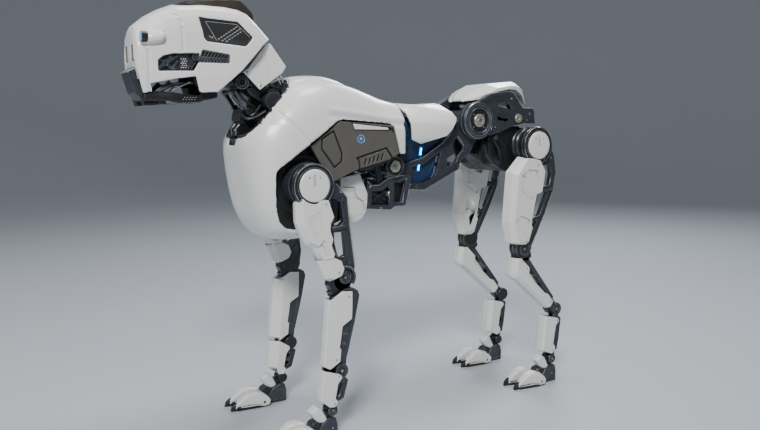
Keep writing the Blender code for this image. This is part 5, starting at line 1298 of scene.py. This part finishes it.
for s in (1, -1):
    add("hip_drums", "pelvis", BLACK, revolve(HIP, [(s * 60, 40), (s * 72, 45), (s * 78, 47), (s * 80, 45), (s * 84, 45), (s * 86, 47.6), (s * 94, 47.6), (s * 96, 45.6), (s * 99, 45.6), (s * 100, 47.2), (s * 103.6, 47.2), (s * 104.4, 45)], 64))
    add("hip_drum_rims", "pelvis", ALLOY, hoop(HIP, 47.2, 1.0, s * 86.5, 60, 6), hoop(HIP, 46.8, 0.8, s * 100.5, 60, 6))
    # spine hub: deep stepped bearing
    add("spine_hub", "pelvis", ALLOY, revolve(SPINE_REAR, [(s * 66, 40), (s * 68, 45), (s * 78, 46.5), (s * 79, 44.5), (s * 82, 44.5), (s * 83, 46.6), (s * 92, 46.6), (s * 95.4, 44), (s * 97, 41), (s * 97, 38), (s * 94.4, 36.5), (s * 94.4, 32.5), (s * 96.4, 31.5), (s * 96.4, 29.5), (s * 92, 28.4), (s * 92, 2)], 72))
    add("spine_hub_rims", "pelvis", STEEL, hoop(SPINE_REAR, 45.0, 0.9, s * 94.6, 72, 6), hoop(SPINE_REAR, 31.8, 0.8, s * 96.2, 56, 6), hoop(SPINE_REAR, 37.4, 0.6, s * 96.3, 60, 6))
    add("spine_hub_well", "pelvis", BLACK, revolve(SPINE_REAR, [(s * 91, 28), (s * 92.6, 28), (s * 92.6, 17)], 48))
    add("spine_bolts", "pelvis", STEEL, *[screw(s * 92.8, 158 + 22.5 * math.cos(math.radians(a)), 706 + 22.5 * math.sin(math.radians(a)), s, 2.3, 0.8) for a in (45, 135, 225, 315)],
        revolve(SPINE_REAR, [(s * 95, 5.4), (s * 98.4, 5.4), (s * 98.8, 4.4), (s * 98.8, 2)], 6))
    add("spine_disc", "pelvis", BRASS, revolve(SPINE_REAR, [(s * 91, 16.4), (s * 96.4, 16.4), (s * 97.6, 15), (s * 97.6, 9), (s * 96, 8), (s * 96, 1)], 44))
    add("small_disc", "pelvis", BRASS, revolve((290, 711), [(s * 88, 11.6), (s * 92.4, 11.6), (s * 93.4, 10.4), (s * 93.4, 3), (s * 92.6, 2.4), (s * 92.6, 0.5)], 36))
    add("small_disc_seat", "pelvis", BLACK, hoop((290, 711), 13.2, 1.4, s * 90.4, 40, 8))
    add("plate_edges", "pelvis", STEEL, tube([(s * 89.6, *p) for p in ((160, 753), (197, 773), (230, 777.6), (258, 780.6), (275, 776.6), (307, 737.6))], 0.8, 6), tube([(s * 89.6, *p) for p in ((221, 674), (264, 690), (305, 698.6))], 0.8, 6))
    add("plate_bolts", "pelvis", STEEL, screw(s * 89.8, 330, 724, s, 3.0, 0.9), screw(s * 89.8, 214, 690, s, 2.6, 0.9), screw(s * 89.8, 322, 706, s, 2.4, 0.9), screw(s * 89.8, 268, 762, s, 2.4, 0.9))
    add("rear_lug", "pelvis", ALLOY, drum((336, 726), 10, s * 68, s * 88, 28, 1.2), drum((222, 662), 6, s * 66, s * 86, 20, 1))
    add("side_lines", "pelvis", BLACK, tube(smooth_path([(s * 70, 214, 676), (s * 80, 222, 650), (s * 78, 236, 628), (s * 66, 246, 604)]), 4.2, 12), tube(smooth_path([(s * 60, 200, 660), (s * 70, 196, 640), (s * 68, 206, 618)]), 3.4, 12))
add("core_tube", "pelvis", ALLOY, drum(SPINE_REAR, 26, -66, 66, 40), drum((290, 712), 8, -76, 76, 24), drum((222, 706), 9, -76, 76, 24))
add("core_block", "pelvis", BLACK, prism([(150, 732), (150, 684), (215, 664), (262, 690), (262, 724), (215, 740)], -52, 52))

# rump cover: longitudinal ridges and a rear lip
rump_rows = [(158, 34, 755.5, 760), (170, 52, 757, 769), (190, 72, 762, 783), (206, 86, 768, 792), (222, 87, 778, 800), (262, 87, 786, 804), (290, 80, 785, 806.5), (313, 70, 776, 808.5), (324, 66, 770, 803), (342, 57, 748, 754)]
rump = machined(skin([[point(x, y, z) for x, z in ((-h, low), (-h, low + (top - low) * 0.45), (-h * 0.72, top - 6), (-h * 0.5, top), (h * 0.5, top), (h * 0.72, top - 6), (h, low + (top - low) * 0.45), (h, low))] for y, h, low, top in rump_rows]), [
    ("DIFFERENCE", prism([(214, 700), (214, 784), (262, 795), (309, 798), (317, 790), (334, 746), (334, 700)], -50, 50)),
    *[("DIFFERENCE", prism([(200, 815), (200, 803.4), (292, 810.5), (292, 815)], s * 17, s * 19)) for s in (1, -1)],
], 1.6, 3, 14)
place("rump_cover_moulded", "pelvis", rump, WHITE, ["rump_cover"])

# belly guard
GUARD = [(-159, 500), (-97, 494), (-84, 502), (-53, 502), (-39, 554), (-39, 575), (-60, 577), (-105, 570), (-127, 556), (-149, 556), (-161, 568)]
guard = machined(prism(GUARD, 68.5, 78), [
    ("DIFFERENCE", prism([(-149, 510), (-99, 506), (-97, 545), (-103, 552), (-121, 542), (-147, 542)], 62, 84)),
    ("DIFFERENCE", prism([(-86, 513), (-62, 512), (-51, 554), (-52, 563), (-86, 560)], 62, 84)),
], 1.5, 2)
place("belly_guard_left", "chest", guard, ALLOY, ["belly_guard"])
place("belly_guard_right", "chest", mirrored(guard), ALLOY)
for s in (1, -1):
    add("guard_edges", "chest", STEEL, tube([(s * 77.6, *p) for p in ((-159, 501), (-97, 495), (-84, 502.6), (-54, 502.6), (-40, 554))], 0.8, 6), tube([(s * 77.6, *p) for p in ((-160, 566), (-149, 555.6), (-127, 555.6), (-105, 569.6), (-60, 576.6))], 0.8, 6))
    add("guard_inner", "chest", BLACK, prism([(-150, 508), (-96, 502), (-94, 548), (-120, 546), (-150, 546)], s * 60, s * 64), bar((-144, 516), (-112, 536), 5, s * 62, s * 70), bar((-142, 536), (-104, 518), 4, s * 62, s * 69), prism([(-90, 508), (-60, 508), (-48, 556), (-88, 562)], s * 58, s * 62))
    add("guard_disc", "chest", BRASS, revolve((-93, 532), [(s * 62, 8), (s * 74, 8), (s * 75, 7), (s * 75, 3), (s * 73.6, 2.4), (s * 73.6, 0.5)], 24))
    add("guard_bolts", "chest", STEEL, screw(s * 77.8, -122, 500, s, 2.2, 0.8), screw(s * 77.8, -50, 566, s, 2.2, 0.8), screw(s * 77.8, -153, 552, s, 2.0, 0.8))
    add("guard_posts", "chest", ALLOY, drum((-154, 550), 5, s * 40, s * 72, 16), drum((-119, 555), 5, s * 40, s * 72, 16), bar((-119, 556), (-126, 600), 12, s * 60, s * 70), bar((-60, 574), (-72, 600), 8, s * 68, s * 74))
add("guard_cross", "chest", ALLOY, drum((-91, 504), 5, -72, 72, 18), drum((-50, 560), 4, -72, 72, 18))


# Joined details, studio and camera ---------------------------------------------------------------
flush_parts()

LOOK_OF = {"white_shell": WHITE, "taupe_panel": TAUPE, "dark_alloy": ALLOY, "black_plastic": BLACK, "smoked_glass": GLASS, "core_casing": CORE}
for entry in frame["record"]["subparts"]:
    node = frame["nodes"].get(entry["node"])
    if node is not None and not node.hide_render:
        node.data.materials.clear()
        node.data.materials.append(LOOK_OF[entry["material_slot"]])

# one seamless bowl: flat floor, then a wide curve upwards
bowl = bmesh.new()
rows = []
for r, z in ((0.4, 0.0), (1.2, 0.0), (2.6, 0.0), (4.2, 0.0), (5.2, 0.02), (6.0, 0.12), (6.8, 0.42), (7.5, 0.95), (8.0, 1.7), (8.3, 2.7), (8.4, 4.0)):
    rows.append([bowl.verts.new((r * math.cos(2 * math.pi * k / 96), r * math.sin(2 * math.pi * k / 96), z - 0.0004)) for k in range(96)])
bowl.faces.new(rows[0])
for low, high in zip(rows, rows[1:]):
    for k in range(96):
        m = (k + 1) % 96
        bowl.faces.new((low[k], low[m], high[m], high[k]))
for f in bowl.faces:
    if f.normal.z < 0:
        f.normal_flip()
floor_mesh = bpy.data.meshes.new("studio_floor")
bmesh.ops.recalc_face_normals(bowl, faces=bowl.faces)
bowl.to_mesh(floor_mesh)
bowl.free()
floor_mesh.shade_smooth()
floor_mesh.materials.append(FLOOR)
floor = bpy.data.objects.new("studio_floor", floor_mesh)
SCENE.objects.link(floor)

world = bpy.data.worlds.new("studio")
bpy.context.scene.world = world
world.use_nodes = True
world.node_tree.nodes["Background"].inputs[0].default_value = (0.72, 0.82, 0.95, 1)
world.node_tree.nodes["Background"].inputs[1].default_value = 0.13


def area_light(name, at, look_at, size, power, colour=(1, 1, 1)):
    data = bpy.data.lights.new(name, "AREA")
    data.shape = "RECTANGLE"
    data.size, data.size_y = size
    data.energy = power
    data.color = colour
    lamp = bpy.data.objects.new(name, data)
    lamp.location = at
    lamp.rotation_euler = (Vector(look_at) - Vector(at)).to_track_quat("-Z", "Y").to_euler()
    SCENE.objects.link(lamp)
    return lamp


area_light("key", (2.9, -2.3, 3.3), (0, 0.0, 0.5), (1.0, 0.9), 205, (1.0, 0.985, 0.965))
area_light("front", (-2.2, -3.0, 2.4), (0, 0.0, 0.6), (1.2, 1.2), 20, (0.95, 0.97, 1.0))
area_light("rim", (-2.2, 2.8, 2.7), (0, 0, 0.6), (1.4, 1.0), 70, (0.90, 0.95, 1.0))
area_light("top", (0.1, 0.4, 3.4), (0, 0, 0.5), (1.2, 1.2), 62, (1, 1, 1))

eye = Vector((1.64627, -1.085 + SHIFT / 1000, 0.700))
azimuth, pitch, roll = math.radians(58.565), math.radians(6.698), math.radians(-0.348)
ahead = Vector((-math.cos(pitch) * math.sin(azimuth), math.cos(pitch) * math.cos(azimuth), -math.sin(pitch)))
right = Vector((math.cos(azimuth), math.sin(azimuth), 0))
up = right.cross(ahead)
right, up = right * math.cos(roll) + up * math.sin(roll), up * math.cos(roll) - right * math.sin(roll)
camera = bpy.data.objects.new("camera", bpy.data.cameras.new("camera"))
SCENE.objects.link(camera)
turn = Matrix((right, up, -ahead)).transposed().to_4x4()
turn.translation = eye
camera.matrix_world = turn
camera.data.lens = 36.906
camera.data.sensor_width = 36.0
camera.data.clip_start, camera.data.clip_end = 0.05, 100.0
bpy.context.scene.camera = camera
